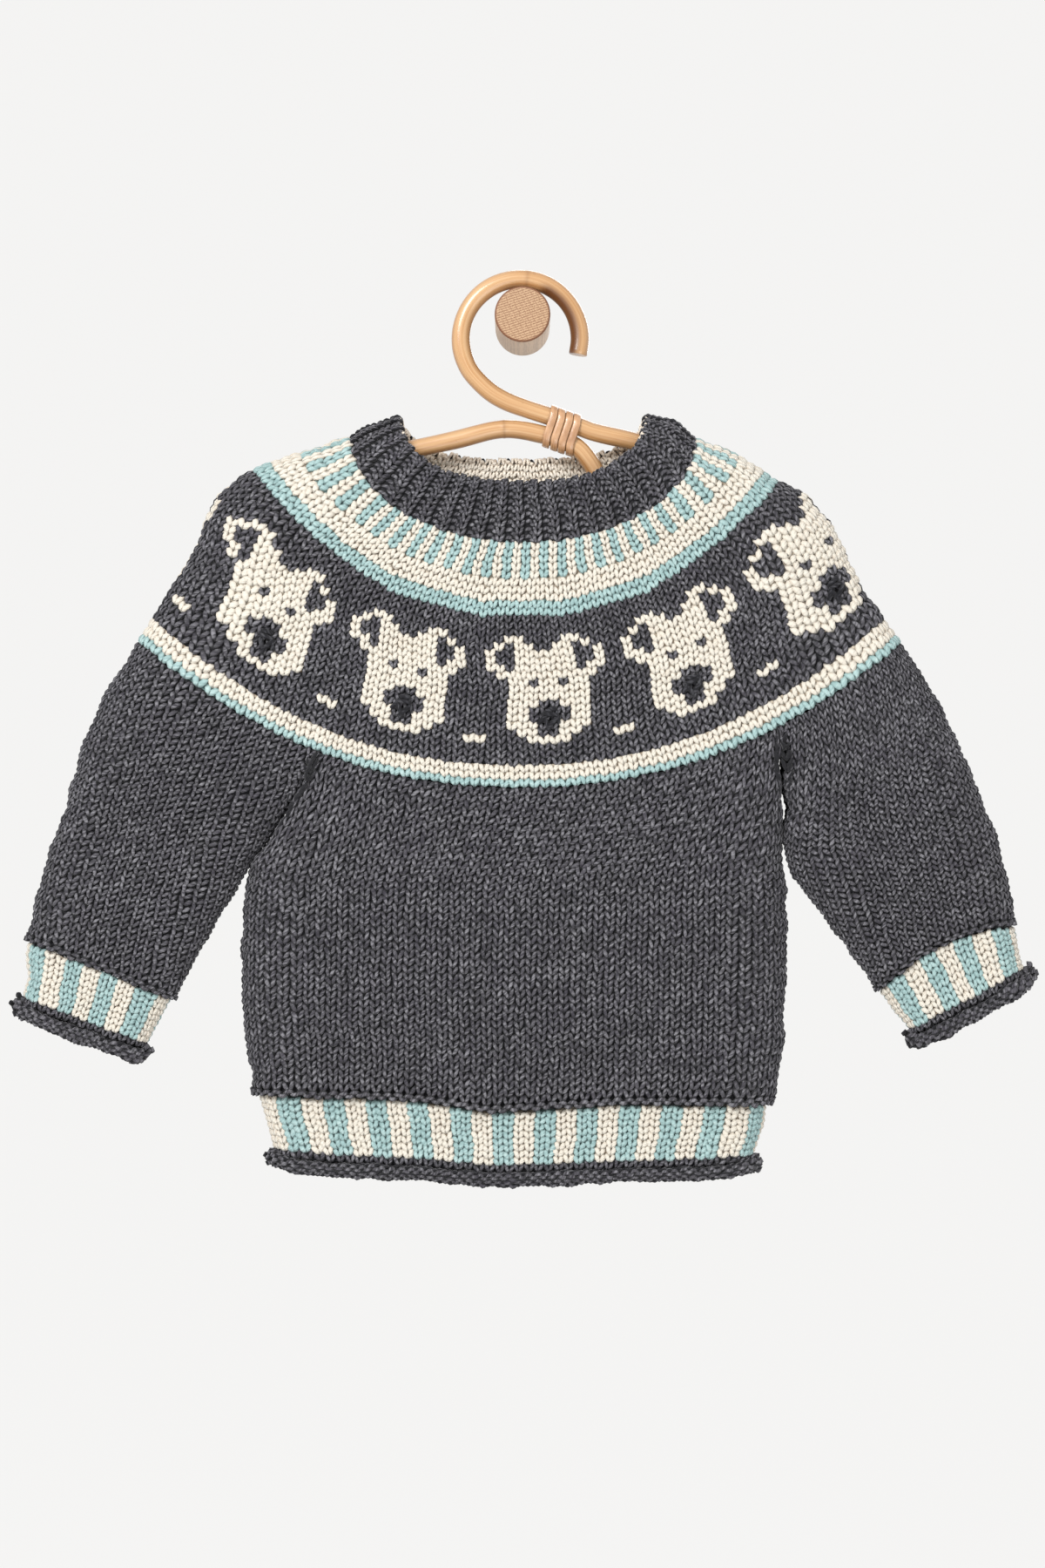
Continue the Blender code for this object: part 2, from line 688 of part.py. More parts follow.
def make_peg(material):
    """A round wooden peg with eased edges, its flat back on the wall."""
    builder = bmesh.new()
    profile = (
        (PEG_RADIUS, 0.0),
        (PEG_RADIUS, -PEG_LENGTH + PEG_EDGE),
        (PEG_RADIUS - PEG_EDGE * EDGE_MIDDLE, -PEG_LENGTH + PEG_EDGE * EDGE_MIDDLE),
        (PEG_RADIUS - PEG_EDGE, -PEG_LENGTH),
    )
    rings = []
    for radius, depth in profile:
        ring = []
        for step in range(PEG_SIDES):
            angle = 2.0 * math.pi * step / PEG_SIDES
            ring.append(builder.verts.new((radius * math.cos(angle), depth, radius * math.sin(angle))))
        rings.append(ring)
    for here, after in zip(rings, rings[1:]):
        for step in range(PEG_SIDES):
            turn = (step + 1) % PEG_SIDES
            builder.faces.new((here[step], here[turn], after[turn], after[step]))
    builder.faces.new(rings[0])
    builder.faces.new(rings[-1])
    return make_object("wall_peg", builder, material)


def make_material(name, colour, roughness):
    """A plain finish in a piece's own colour."""
    material = bpy.data.materials.new(name)
    material.use_nodes = True
    shader = material.node_tree.nodes["Principled BSDF"]
    shader.inputs["Base Color"].default_value = (*colour, 1.0)
    shader.inputs["Roughness"].default_value = roughness
    shader.inputs["Metallic"].default_value = 0.0
    material.diffuse_color = (*colour, 1.0)
    return material


def yoke_shares():
    """Where the yoke's points stand along a half round: close at the folds, and one at each underarm."""
    return (
        [0.0]
        + spread(0.0, FOLD_SHARE, 4)
        + spread(FOLD_SHARE, UNDERARM_LEFT, 4)
        + spread(UNDERARM_LEFT, UNDERARM_RIGHT, 16)
        + spread(UNDERARM_RIGHT, 1.0 - FOLD_SHARE, 2)
        + spread(1.0 - FOLD_SHARE, 1.0, 4)
    )


def make_yoke(material):
    """The yoke, one ring from the neckband down to the underarms."""
    steps = [step / YOKE_STEPS for step in range(YOKE_STEPS + 1)]
    grid = tube_grid(YOKE, steps, yoke_shares())
    inner = moved(grid, grid_normals(grid), -WALL)
    return cloth_wall("yoke", grid, inner, material)


def dip_at(share):
    """How far the body's lower edge drops at a share of its width."""
    return read_table(HEM_DIPS, share).drop


def lowered(grid, shares, weights):
    """Lowers the rounds of a tube by the uneven lower edge, each by its own weight."""
    last = len(shares) - 1
    for ring, weight in zip(grid, weights):
        for column, point in enumerate(ring):
            place = column if column <= last else 2 * last - column
            point.z -= dip_at(shares[place]) * weight
    return grid


def ridge(grid, normals, steps):
    """Raises the purl ridge at the foot of the body in its outer points."""
    raised = []
    for ring, line, share in zip(grid, normals, steps):
        proud = RIDGE_HEIGHT * math.exp(-((share - RIDGE_SHARE) / RIDGE_WIDTH) ** 2)
        raised.append([point + normal * proud for point, normal in zip(ring, line)])
    return raised


def split_panel(outer, inner, first, last):
    """The columns of one panel of a tube, its side edges drawn in by half a seam."""
    panels = []
    for grid in (outer, inner):
        panel = []
        for ring in grid:
            line = [ring[column % len(ring)].copy() for column in range(first, last + 1)]
            line[0] += (line[1] - line[0]).normalized() * (SEAM / 2.0)
            line[-1] += (line[-2] - line[-1]).normalized() * (SEAM / 2.0)
            panel.append(line)
        panels.append(panel)
    return panels


def make_body(material):
    """Front and back of the body, from the underarms to the purl ridge."""
    shares = fold_shares(BODY_GUSSET, 2, 16)
    steps = [step / BODY_STEPS for step in range(BODY_STEPS)] + [RIDGE_TOP, RIDGE_SHARE, 1.0]
    grid = tube_grid(BODY, steps, shares, body_top, BODY_BLEND)
    grid = lowered(grid, shares, [smooth((share - 0.5) * 2.0) for share in steps])
    normals = grid_normals(grid)
    inner = moved(grid, normals, -WALL)
    outer = ridge(grid, normals, steps)
    half = len(shares) - 1
    front_outer, front_inner = split_panel(outer, inner, 0, half)
    cloth_wall("body_front", front_outer, front_inner, material, closed=False)
    back_outer, back_inner = split_panel(outer, inner, half, 2 * half)
    cloth_wall("body_back", back_outer, back_inner, material, closed=False)


def make_hem(band_material, roll_material):
    """The striped hem band and the roll that ends it."""
    shares = fold_shares(HEM_FOLD, 3, 12)
    steps = [step / HEM_STEPS for step in range(HEM_STEPS + 1)]
    grid = lowered(tube_grid(HEM_BAND, steps, shares), shares, BAND_DIP_WEIGHTS)
    inner = moved(grid, grid_normals(grid), -WALL)
    cloth_wall("hem_band", grid, inner, band_material)
    centres = lowered([ring_points(HEM_ROLL, shares)], shares, [ROLL_DIP_WEIGHT])[0]
    closed_sweep("hem_roll", centres, HEM_ROLL_RADIUS, ROLL_SIDES, roll_material)


def make_sleeve(name, rows, top, creases, material):
    """A sleeve, one tube from the yoke to the cuff."""
    shares = fold_shares(SLEEVE_FOLD, 4, 6)
    steps = [step / SLEEVE_STEPS for step in range(SLEEVE_STEPS + 1)]
    grid = tube_grid(rows, steps, shares, top, SLEEVE_BLEND)
    normals = grid_normals(grid)
    grid = creased(grid, normals, creases, len(shares) - 1)
    inner = moved(grid, grid_normals(grid), -WALL)
    return cloth_wall(name, grid, inner, material)


def make_cuff(side_name, rows, roll_row, band_material, roll_material):
    """A striped cuff and its roll."""
    shares = fold_shares(CUFF_FOLD, 3, 4)
    steps = [step / CUFF_STEPS for step in range(CUFF_STEPS + 1)]
    grid = tube_grid(rows, steps, shares)
    inner = moved(grid, grid_normals(grid), -WALL)
    cloth_wall("cuff_" + side_name, grid, inner, band_material)
    centres = ring_points(roll_row, shares)
    closed_sweep("cuff_roll_" + side_name, centres, CUFF_ROLL_RADIUS, ROLL_SIDES, roll_material)


def make_neckband(band_material, facing_material):
    """The ribbed neckband, its ribs raised over a plain inside, and the facing behind it."""
    columns = RIBS * 2
    shares = [step / columns for step in range(columns + 1)]
    seam_share = SEAM / NECKBAND_WIDTH
    steps = [seam_share + (1.0 - seam_share) * step / NECKBAND_STEPS for step in range(NECKBAND_STEPS + 1)]
    grid = tube_grid(NECKBAND, steps, shares)
    grid.reverse()
    normals = grid_normals(grid)
    outer = [
        [
            point + normal * RIB_HEIGHT * RIB_RELIEF[column % len(RIB_RELIEF)]
            for column, (point, normal) in enumerate(zip(ring, line))
        ]
        for ring, line in zip(grid, normals)
    ]
    inner = moved(grid, normals, -WALL)
    cloth_wall("neckband", outer, inner, band_material)
    facing_shares = [step / FACING_COLUMNS for step in range(FACING_COLUMNS + 1)]
    facing_grid = tube_grid(NECKBAND, steps, facing_shares)
    facing_grid.reverse()
    facing_normals = grid_normals(facing_grid)
    facing_outer = moved(facing_grid, facing_normals, -WALL - FACING_GAP)
    facing_inner = moved(facing_grid, facing_normals, -WALL - FACING_GAP - FACING_THICKNESS)
    cloth_wall("neck_facing", facing_outer, facing_inner, facing_material)


def main():
    """Builds every piece."""
    clear_scene()
    charcoal = make_material("charcoal_wool", (0.074, 0.073, 0.080), 0.95)
    cream = make_material("cream_wool", (0.70, 0.66, 0.56), 0.95)
    blue = make_material("blue_and_cream_wool", (0.40, 0.52, 0.50), 0.95)
    cane_finish = make_material("cane", (0.68, 0.44, 0.23), 0.38)
    strip_finish = make_material("cane_strip", (0.62, 0.38, 0.21), 0.32)
    peg_finish = make_material("peg_wood", (0.60, 0.40, 0.25), 0.60)

    make_peg(peg_finish)
    cane("hook_cane", curve_through(hook_route(), CANE_STEPS), CANE_RADIUS, cane_finish, False, True)
    cane("arm_cane", curve_through(arm_route(), CANE_STEPS), CANE_RADIUS, cane_finish, True, True)
    make_binding(strip_finish)
    make_neckband(charcoal, cream)
    make_yoke(charcoal)
    make_body(charcoal)
    make_sleeve("sleeve_left", SLEEVE_LEFT, left_sleeve_top, SLEEVE_LEFT_CREASES, charcoal)
    make_sleeve("sleeve_right", SLEEVE_RIGHT, right_sleeve_top, SLEEVE_RIGHT_CREASES, charcoal)
    make_cuff("left", CUFF_LEFT, CUFF_ROLL_LEFT, blue, charcoal)
    make_cuff("right", CUFF_RIGHT, CUFF_ROLL_RIGHT, blue, charcoal)
    make_hem(blue, charcoal)


main()
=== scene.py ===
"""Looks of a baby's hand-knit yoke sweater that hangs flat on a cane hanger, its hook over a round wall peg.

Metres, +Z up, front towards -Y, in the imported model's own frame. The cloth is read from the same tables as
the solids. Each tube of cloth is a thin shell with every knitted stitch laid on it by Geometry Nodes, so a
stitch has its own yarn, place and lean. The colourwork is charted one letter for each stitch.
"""

import logging
import math
from dataclasses import dataclass, field
from enum import Enum
from typing import Callable, NamedTuple, Optional, Sequence

import bmesh
import bpy
import numpy as np
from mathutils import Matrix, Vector


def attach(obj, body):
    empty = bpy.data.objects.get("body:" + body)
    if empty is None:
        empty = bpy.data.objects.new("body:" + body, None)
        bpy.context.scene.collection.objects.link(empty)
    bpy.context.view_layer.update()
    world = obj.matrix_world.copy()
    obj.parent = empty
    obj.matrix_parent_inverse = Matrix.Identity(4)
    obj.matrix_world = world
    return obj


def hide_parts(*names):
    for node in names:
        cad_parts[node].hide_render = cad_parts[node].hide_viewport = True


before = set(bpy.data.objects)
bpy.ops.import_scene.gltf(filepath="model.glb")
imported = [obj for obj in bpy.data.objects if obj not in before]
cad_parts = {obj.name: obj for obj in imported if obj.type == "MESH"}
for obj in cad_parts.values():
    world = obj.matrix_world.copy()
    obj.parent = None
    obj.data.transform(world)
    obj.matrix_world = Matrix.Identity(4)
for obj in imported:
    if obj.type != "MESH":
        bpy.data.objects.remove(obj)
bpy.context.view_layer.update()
LOG = logging.getLogger("sweater")
ROOT = "root"

# The plane that the hanger and the sweater hang in, and the sizes of the knitting
HANG_Y = -0.036
STITCH_WIDTH = 0.0049
ROW_HEIGHT = 0.0035
YARN_THICKNESS = 0.0023
KNIT_DEPTH = 0.0010
SHELL_DEPTH = 0.0014
SHELL_THICKNESS = 0.0008
WALL = 0.003

# Where the body's front ends and the sleeves begin along the yoke's lowest row, as shares of that row
UNDERARM_LEFT = 0.26
UNDERARM_RIGHT = 0.81
UNDERARM_DROP = 0.0100
UNDERARM_GAP = 0.0004
YOKE_SEAM = 0.0007
BODY_GUSSET = 0.04
SLEEVE_GUSSET = 0.09
BODY_BLEND = 0.32
SLEEVE_BLEND = 0.35

# How far rows stand proud: the body's from the purl ridge upwards, and the last one of a sleeve
RIDGE_RISES = (0.0018, 0.0010, 0.0004)
SLEEVE_END_RISE = 0.0009

# Rolled edges
HEM_ROLL_RADIUS = 0.0037
CUFF_ROLL_RADIUS = 0.0042

# Hanger canes, their binding and the peg
CANE_RADIUS = 0.0047
HOOK_RADIUS = 0.0301
HOOK_X = -0.0011
PEG_RADIUS = 0.014
PEG_LENGTH = 0.045
HOOK_CLEARANCE = 0.0003
HOOK_Z = PEG_RADIUS + HOOK_CLEARANCE + CANE_RADIUS - HOOK_RADIUS
HOOK_TIP_ANGLE = -15.0
HOOK_END_ANGLE = 218.0
HOOK_ARC_POINTS = 16
BINDING_X = 0.0198
BINDING_Z = -0.0576
BINDING_SLOPE = math.radians(19.4)
BINDING_LENGTH = 0.0165
BINDING_STRIPS = 4
CANE_SPREAD = 2.0 * CANE_RADIUS + 0.0004

# Skin of the canes: how far a joint reaches and how much it swells, and how the thickness wanders
JOINT_REACH = 0.0009
JOINT_SWELL = 0.035
CANE_SHRINK = 0.02
CANE_WAVE = 0.012
CANE_WAVE_TURNS = 190.0

# Joints of the two canes and the hook's stain, as distances from the first end
HOOK_JOINTS = (0.052, 0.172)
ARM_JOINTS = (0.128,)
STAIN = (-0.004, 0.047)

# Shares of dark colour on the canes: at a joint, in a stain, and painted shade along one side and along the
# other
JOINT_DARKNESS = 0.3
STAIN_DARKNESS = 1.7
STAIN_ANGLE = math.radians(62.0)
STAIN_EASE_IN = 0.006
STAIN_EASE_OUT = 0.010
SIDE_SHADE_SHARE = 0.75
OPPOSITE_SIDE_SHADE_SHARE = 0.45

# Ends of a cane: how far past its centre line a ring stands, in radii, and the ring's size
ROUNDED_END = ((0.3, 0.95), (0.75, 0.66), (0.97, 0.24))
SAWN_END = ((0.06, 0.95),)

Colour = tuple[float, float, float]
Array = np.ndarray
Socket = bpy.types.NodeSocket
Material = bpy.types.Material
Mesh = bpy.types.Mesh
Piece = bpy.types.Object
Builder = bmesh.types.BMesh
MapLayer = bmesh.types.BMLayerItem
Ring = Sequence[bmesh.types.BMVert]
PlanePoint = tuple[float, float]


class Row(NamedTuple):
    """A round of a flattened tube: its two folds, the sag of its front and back, and its folds' shape."""

    share: float
    left_x: float
    left_z: float
    right_x: float
    right_z: float
    sag_front: float
    sag_back: float
    curve: float
    fullness: float
    depth: float
    fold_run: float


class Dip(NamedTuple):
    """How far the body's lower edge drops at a share of its width."""

    share: float
    drop: float


class Crease(NamedTuple):
    """A soft crease pressed into one side of the cloth, its middle given in the hanging plane."""

    x: float
    z: float
    length: float
    width: float
    angle: float
    depth: float


# From the neckband seam down to the row where body and sleeves part
YOKE = (
    Row(0.00, -0.0867, -0.0607, 0.0876, -0.0607, 0.0545, 0.0410, 2.0, 0.50, 0.0170, 0.040),
    Row(0.15, -0.1122, -0.0690, 0.1096, -0.0706, 0.0637, 0.0530, 2.1, 0.75, 0.0170, 0.042),
    Row(0.30, -0.1368, -0.0778, 0.1307, -0.0831, 0.0713, 0.0640, 2.3, 1.00, 0.0165, 0.044),
    Row(0.40, -0.1500, -0.0871, 0.1426, -0.0902, 0.0753, 0.0690, 2.3, 1.00, 0.0163, 0.045),
    Row(0.50, -0.1584, -0.0981, 0.1531, -0.1016, 0.0763, 0.0710, 2.3, 1.00, 0.0160, 0.045),
    Row(0.60, -0.1628, -0.1113, 0.1597, -0.1130, 0.0761, 0.0720, 2.3, 1.00, 0.0155, 0.045),
    Row(0.80, -0.1778, -0.1377, 0.1725, -0.1381, 0.0748, 0.0715, 2.2, 1.00, 0.0145, 0.045),
    Row(1.00, -0.1936, -0.1632, 0.1914, -0.1636, 0.0737, 0.0710, 2.2, 1.00, 0.0140, 0.045),
)

# From the neckline down to the yoke
NECKBAND = (
    Row(0.00, -0.0638, -0.0506, 0.0638, -0.0501, 0.0363, 0.0227, 2.6, 0.50, 0.0165, 0.034),
    Row(0.50, -0.0761, -0.0541, 0.0770, -0.0532, 0.0468, 0.0335, 2.2, 0.50, 0.0172, 0.038),
    Row(1.00, -0.0867, -0.0607, 0.0876, -0.0607, 0.0545, 0.0410, 2.0, 0.50, 0.0170, 0.040),
)

# From the underarms down to the purl ridge
BODY = (
    Row(0.00, -0.1032, -0.2292, 0.1290, -0.2226, 0.0120, 0.0120, 2.2, 1.00, 0.0140, 0.030),
    Row(0.10, -0.1126, -0.2455, 0.1300, -0.2398, 0.0105, 0.0105, 2.2, 1.00, 0.0140, 0.030),
    Row(0.20, -0.1258, -0.2618, 0.1316, -0.2569, 0.0095, 0.0095, 2.2, 1.00, 0.0142, 0.030),
    Row(0.30, -0.1370, -0.2780, 0.1314, -0.2745, 0.0085, 0.0085, 2.2, 1.00, 0.0146, 0.030),
    Row(0.40, -0.1403, -0.2943, 0.1328, -0.2917, 0.0080, 0.0080, 2.2, 1.00, 0.0150, 0.030),
    Row(0.55, -0.1417, -0.3190, 0.1333, -0.3176, 0.0072, 0.0072, 2.2, 1.00, 0.0152, 0.030),
    Row(0.70, -0.1410, -0.3436, 0.1324, -0.3432, 0.0062, 0.0062, 2.2, 1.00, 0.0148, 0.030),
    Row(0.85, -0.1390, -0.3678, 0.1311, -0.3691, 0.0050, 0.0050, 2.2, 1.00, 0.0136, 0.028),
    Row(1.00, -0.1342, -0.3924, 0.1252, -0.3963, 0.0036, 0.0036, 2.2, 1.00, 0.0120, 0.026),
)

# From the body's ridge down to the roll
HEM_BAND = (
    Row(0.00, -0.1326, -0.3934, 0.1236, -0.3973, 0.0036, 0.0036, 2.2, 1.00, 0.0106, 0.024),
    Row(0.50, -0.1285, -0.4075, 0.1200, -0.4108, 0.0045, 0.0045, 2.2, 1.00, 0.0104, 0.023),
    Row(1.00, -0.1236, -0.4226, 0.1148, -0.4250, 0.0053, 0.0053, 2.2, 1.00, 0.0104, 0.022),
)
HEM_ROLL = Row(0.0, -0.1258, -0.4268, 0.1168, -0.4292, 0.0051, 0.0051, 2.2, 1.0, 0.0108, 0.020)

# How unevenly the body's lower edge hangs along its width
HEM_DIPS = (
    Dip(0.00, 0.0000),
    Dip(0.20, -0.0022),
    Dip(0.33, -0.0020),
    Dip(0.45, 0.0022),
    Dip(0.56, 0.0006),
    Dip(0.70, -0.0018),
    Dip(0.85, -0.0008),
    Dip(1.00, 0.0010),
)

# Left sleeve, outer fold on the left, from the yoke to the cuff
SLEEVE_LEFT = (
    Row(0.0, -0.1936, -0.1632, -0.1036, -0.2292, 0.0000, 0.0000, 2.0, 1.0, 0.0140, 0.030),
    Row(0.2, -0.2116, -0.1918, -0.1183, -0.2512, 0.0020, 0.0020, 2.0, 1.0, 0.0136, 0.028),
    Row(0.4, -0.2235, -0.2217, -0.1349, -0.2728, 0.0020, 0.0020, 2.0, 1.0, 0.0128, 0.026),
    Row(0.6, -0.2319, -0.2516, -0.1486, -0.2961, 0.0015, 0.0015, 2.0, 1.0, 0.0120, 0.024),
    Row(0.8, -0.2427, -0.2829, -0.1624, -0.3194, 0.0005, 0.0010, 2.0, 1.0, 0.0110, 0.021),
    Row(1.0, -0.2499, -0.3150, -0.1766, -0.3445, -0.0010, 0.0010, 2.0, 1.0, 0.0100, 0.019),
)
CUFF_LEFT = (
    Row(0.0, -0.2491, -0.3160, -0.1778, -0.3446, -0.0010, 0.0010, 2.0, 1.0, 0.0092, 0.018),
    Row(1.0, -0.2514, -0.3460, -0.1907, -0.3689, 0.0000, 0.0000, 2.0, 1.0, 0.0090, 0.017),
)
CUFF_ROLL_LEFT = Row(0.0, -0.2530, -0.3502, -0.1923, -0.3731, 0.0, 0.0, 2.0, 1.0, 0.0092, 0.016)

# Right sleeve, underarm on the left, from the yoke to the cuff
SLEEVE_RIGHT = (
    Row(0.0, 0.1294, -0.2226, 0.1914, -0.1636, 0.0000, 0.0000, 2.0, 1.0, 0.0140, 0.030),
    Row(0.2, 0.1320, -0.2490, 0.2077, -0.1905, 0.0030, 0.0030, 2.0, 1.0, 0.0136, 0.028),
    Row(0.4, 0.1329, -0.2752, 0.2211, -0.2182, 0.0020, 0.0030, 2.0, 1.0, 0.0128, 0.026),
    Row(0.6, 0.1480, -0.2978, 0.2331, -0.2471, 0.0000, 0.0020, 2.0, 1.0, 0.0120, 0.024),
    Row(0.8, 0.1640, -0.3190, 0.2431, -0.2765, -0.0045, 0.0000, 2.0, 1.0, 0.0110, 0.021),
    Row(1.0, 0.1800, -0.3400, 0.2490, -0.3071, -0.0080, -0.0010, 2.0, 1.0, 0.0100, 0.019),
)
CUFF_RIGHT = (
    Row(0.0, 0.1810, -0.3402, 0.2485, -0.3080, -0.0080, -0.0010, 2.0, 1.0, 0.0092, 0.018),
    Row(1.0, 0.1960, -0.3616, 0.2526, -0.3310, 0.0010, 0.0000, 2.0, 1.0, 0.0090, 0.017),
)
CUFF_ROLL_RIGHT = Row(0.0, 0.1980, -0.3656, 0.2548, -0.3348, 0.0010, 0.0, 2.0, 1.0, 0.0092, 0.016)

# Centre lines of the canes away from the hook's arc and the binding, across and up in the hanging plane
HOOK_NECK = ((-0.0167, -0.0376), (-0.0079, -0.0428), (0.0022, -0.0465))
RIGHT_ARM = ((0.0576, -0.0633), (0.0876, -0.0718), (0.1082, -0.0807), (0.1225, -0.0893))
LEFT_ARM = (
    (-0.1330, -0.0877), (-0.1232, -0.0835), (-0.1030, -0.0765),
    (-0.0704, -0.0700), (-0.0352, -0.0624), (-0.0100, -0.0567),
)
TAIL = ((0.0335, -0.0725), (0.0385, -0.0818), (0.0425, -0.0950))

# Creases of the front: the sleeves, the puckers beside the underarms, the shoulders and the body
FRONT_CREASES = (
    Crease(-0.1360, -0.2330, 0.030, 0.0075, 38.0, 0.0026),
    Crease(-0.1560, -0.2560, 0.036, 0.0090, 22.0, 0.0018),
    Crease(-0.2080, -0.2600, 0.026, 0.0100, 60.0, 0.0010),
    Crease(0.1490, -0.2330, 0.032, 0.0070, -32.0, 0.0028),
    Crease(0.1680, -0.2560, 0.038, 0.0090, -16.0, 0.0018),
    Crease(0.2080, -0.2900, 0.024, 0.0090, -50.0, 0.0012),
    Crease(-0.0990, -0.2480, 0.024, 0.0050, 82.0, 0.0017),
    Crease(-0.0850, -0.2420, 0.020, 0.0045, 95.0, 0.0010),
    Crease(0.1130, -0.2440, 0.024, 0.0055, 98.0, 0.0015),
    Crease(-0.1530, -0.1240, 0.018, 0.0070, 55.0, 0.0014),
    Crease(0.1500, -0.1400, 0.018, 0.0070, -60.0, 0.0013),
    Crease(-0.0600, -0.3300, 0.070, 0.0160, 84.0, 0.0011),
    Crease(0.0700, -0.3000, 0.080, 0.0180, 96.0, 0.0011),
    Crease(0.0150, -0.3650, 0.050, 0.0140, 88.0, 0.0009),
)
BACK_CREASES = (
    Crease(-0.1400, -0.2360, 0.032, 0.0080, 34.0, 0.0024),
    Crease(-0.1600, -0.2620, 0.034, 0.0090, 18.0, 0.0016),
    Crease(0.1520, -0.2350, 0.030, 0.0075, -36.0, 0.0026),
    Crease(0.1700, -0.2600, 0.036, 0.0090, -20.0, 0.0016),
    Crease(-0.0970, -0.2500, 0.024, 0.0055, 80.0, 0.0015),
    Crease(0.1120, -0.2460, 0.024, 0.0055, 100.0, 0.0016),
    Crease(0.0000, -0.1750, 0.050, 0.0150, 4.0, 0.0012),
    Crease(-0.0500, -0.3100, 0.075, 0.0170, 92.0, 0.0011),
    Crease(0.0600, -0.3250, 0.075, 0.0180, 86.0, 0.0011),
)

# One bear of the yoke: c is a cream stitch, n the charcoal ones under the nose, a dot the ground
BEAR = (
    "..cc....cc..",
    ".c.cc..cc.c.",
    "c..cccccc..c",
    "c..cccccc..c",
    "cc.cccccc.cc",
    ".cccccccccc.",
    "..cc.cc.cc..",
    "..cccccccc..",
    "..cccccccc..",
    "..cccnnccc..",
    "..ccnnnncc..",
    "..ccnnnncc..",
    "..cccnnccc..",
    "...ccnncc...",
    "....cccc....",
)
BEAR_REPEAT = 14
BEAR_MIDDLE = 38
BEAR_FIRST_ROW = 13
FLECK_ROW = 27
NOSE_ROW = BEAR_FIRST_ROW + 11.3

# The yoke's wales are a little closer at the middle of a side than at its folds
YOKE_EVENNESS = 0.93

# Names of the map, of the tone that the stitches carry and of what only their points carry
MAP_NAME = "yarn_map"
TONE = "tone"
CARRIED = ("up", "out", "size")

# Tones of the stitches: their mean, and how much rows differ and the stitches of one row differ
TONE_MEAN = 0.5
ROW_TONE_SPREAD = 0.10
STITCH_TONE_SPREAD = 0.16


class Side(Enum):
    """The two sides of a flattened tube."""

    FRONT = -1.0
    BACK = 1.0


class Yarn(Enum):
    """The yarns of the sweater."""

    CHARCOAL = "charcoal"
    CREAM = "cream"
    # The facing's cream, lighter than the cream yarn: painted light inside the shaded neck
    FACING = "facing"
    BLUE = "blue"
    BLACK = "black"


class Stitch(Enum):
    """What a stitch shows on its outer side."""

    KNIT = "knit"
    FULL = "full_knit"
    PURL = "purl"
    SATIN = "satin"


def smooth(share: Array | float) -> Array | float:
    """An even ease from 0 to 1."""
    share = np.clip(share, 0.0, 1.0)
    return share * share * (3.0 - 2.0 * share)


def unit(vectors: Array) -> Array:
    """Vectors of length 1 in the same directions."""
    return vectors / np.linalg.norm(vectors, axis=-1, keepdims=True)


def read_table(rows: Sequence[NamedTuple], share: float) -> NamedTuple:
    """Reads a table of rows smoothly at any share: a cubic through the rows on either side.

    Args:
        rows: the table, each row starting with its share.
        share: where to read it.

    Returns:
        A row of the table's own kind.
    """
    last = len(rows) - 1
    place = 0
    while place < last - 1 and rows[place + 1].share < share:
        place += 1
    here = np.array(rows[place])
    after = np.array(rows[place + 1])
    before = np.array(rows[max(place - 1, 0)])
    later = np.array(rows[min(place + 2, last)])
    span = after[0] - here[0]
    part = (share - here[0]) / span
    rise_in = (after - before) / (after[0] - before[0])
    rise_out = (later - here) / (later[0] - here[0])
    square = part * part
    cube = square * part
    values = (
        here * (2.0 * cube - 3.0 * square + 1.0)
        + rise_in * span * (cube - 2.0 * square + part)
        + after * (3.0 * square - 2.0 * cube)
        + rise_out * span * (cube - square)
    )
    return type(rows[0])(*values.tolist())


def half_round(row: Row, side: Side, shares: Array) -> Array:
    """Points along one side of a flattened round, from its left fold to its right one.

    Args:
        row: the round.
        side: front or back.
        shares: shares of the half round's length.

    Returns:
        One point for each share.
    """
    line_steps = 64
    across = -np.cos(np.linspace(0.0, math.pi, line_steps + 1))
    left = np.array((row.left_x, row.left_z))
    chord = np.array((row.right_x, row.right_z)) - left
    down = np.array((chord[1], -chord[0])) / np.hypot(*chord)
    sag = row.sag_front if side is Side.FRONT else row.sag_back
    drop = sag * (1.0 - np.abs(across) ** row.curve) ** row.fullness
    line = left + chord * ((across + 1.0) / 2.0)[:, None] + down * drop[:, None]
    steps = np.hypot(*np.diff(line, axis=0).T)
    reached = np.concatenate(([0.0], np.cumsum(steps)))
    turn = math.pi / 2.0 * math.sqrt((row.fold_run ** 2 + row.depth ** 2) / 2.0)
    total = reached[-1] - 2.0 * row.fold_run + 2.0 * turn
    reach = np.minimum(shares, 1.0 - shares) * total
    angle = np.clip(reach / turn, 0.0, 1.0) * math.pi / 2.0
    inset = np.where(reach < turn, row.fold_run * (1.0 - np.cos(angle)), row.fold_run + reach - turn)
    inset = np.where(shares < 0.5, inset, reached[-1] - inset)
    return np.stack(
        (
            np.interp(inset, reached, line[:, 0]),
            HANG_Y + side.value * row.depth * np.sin(angle),
            np.interp(inset, reached, line[:, 1]),
        ),
        axis=1,
    )


def yoke_edge(side: Side, shares: Array) -> Array:
    """Points just under the yoke's lowest row."""
    return half_round(read_table(YOKE, 1.0), side, shares) - np.array((0.0, 0.0, YOKE_SEAM))


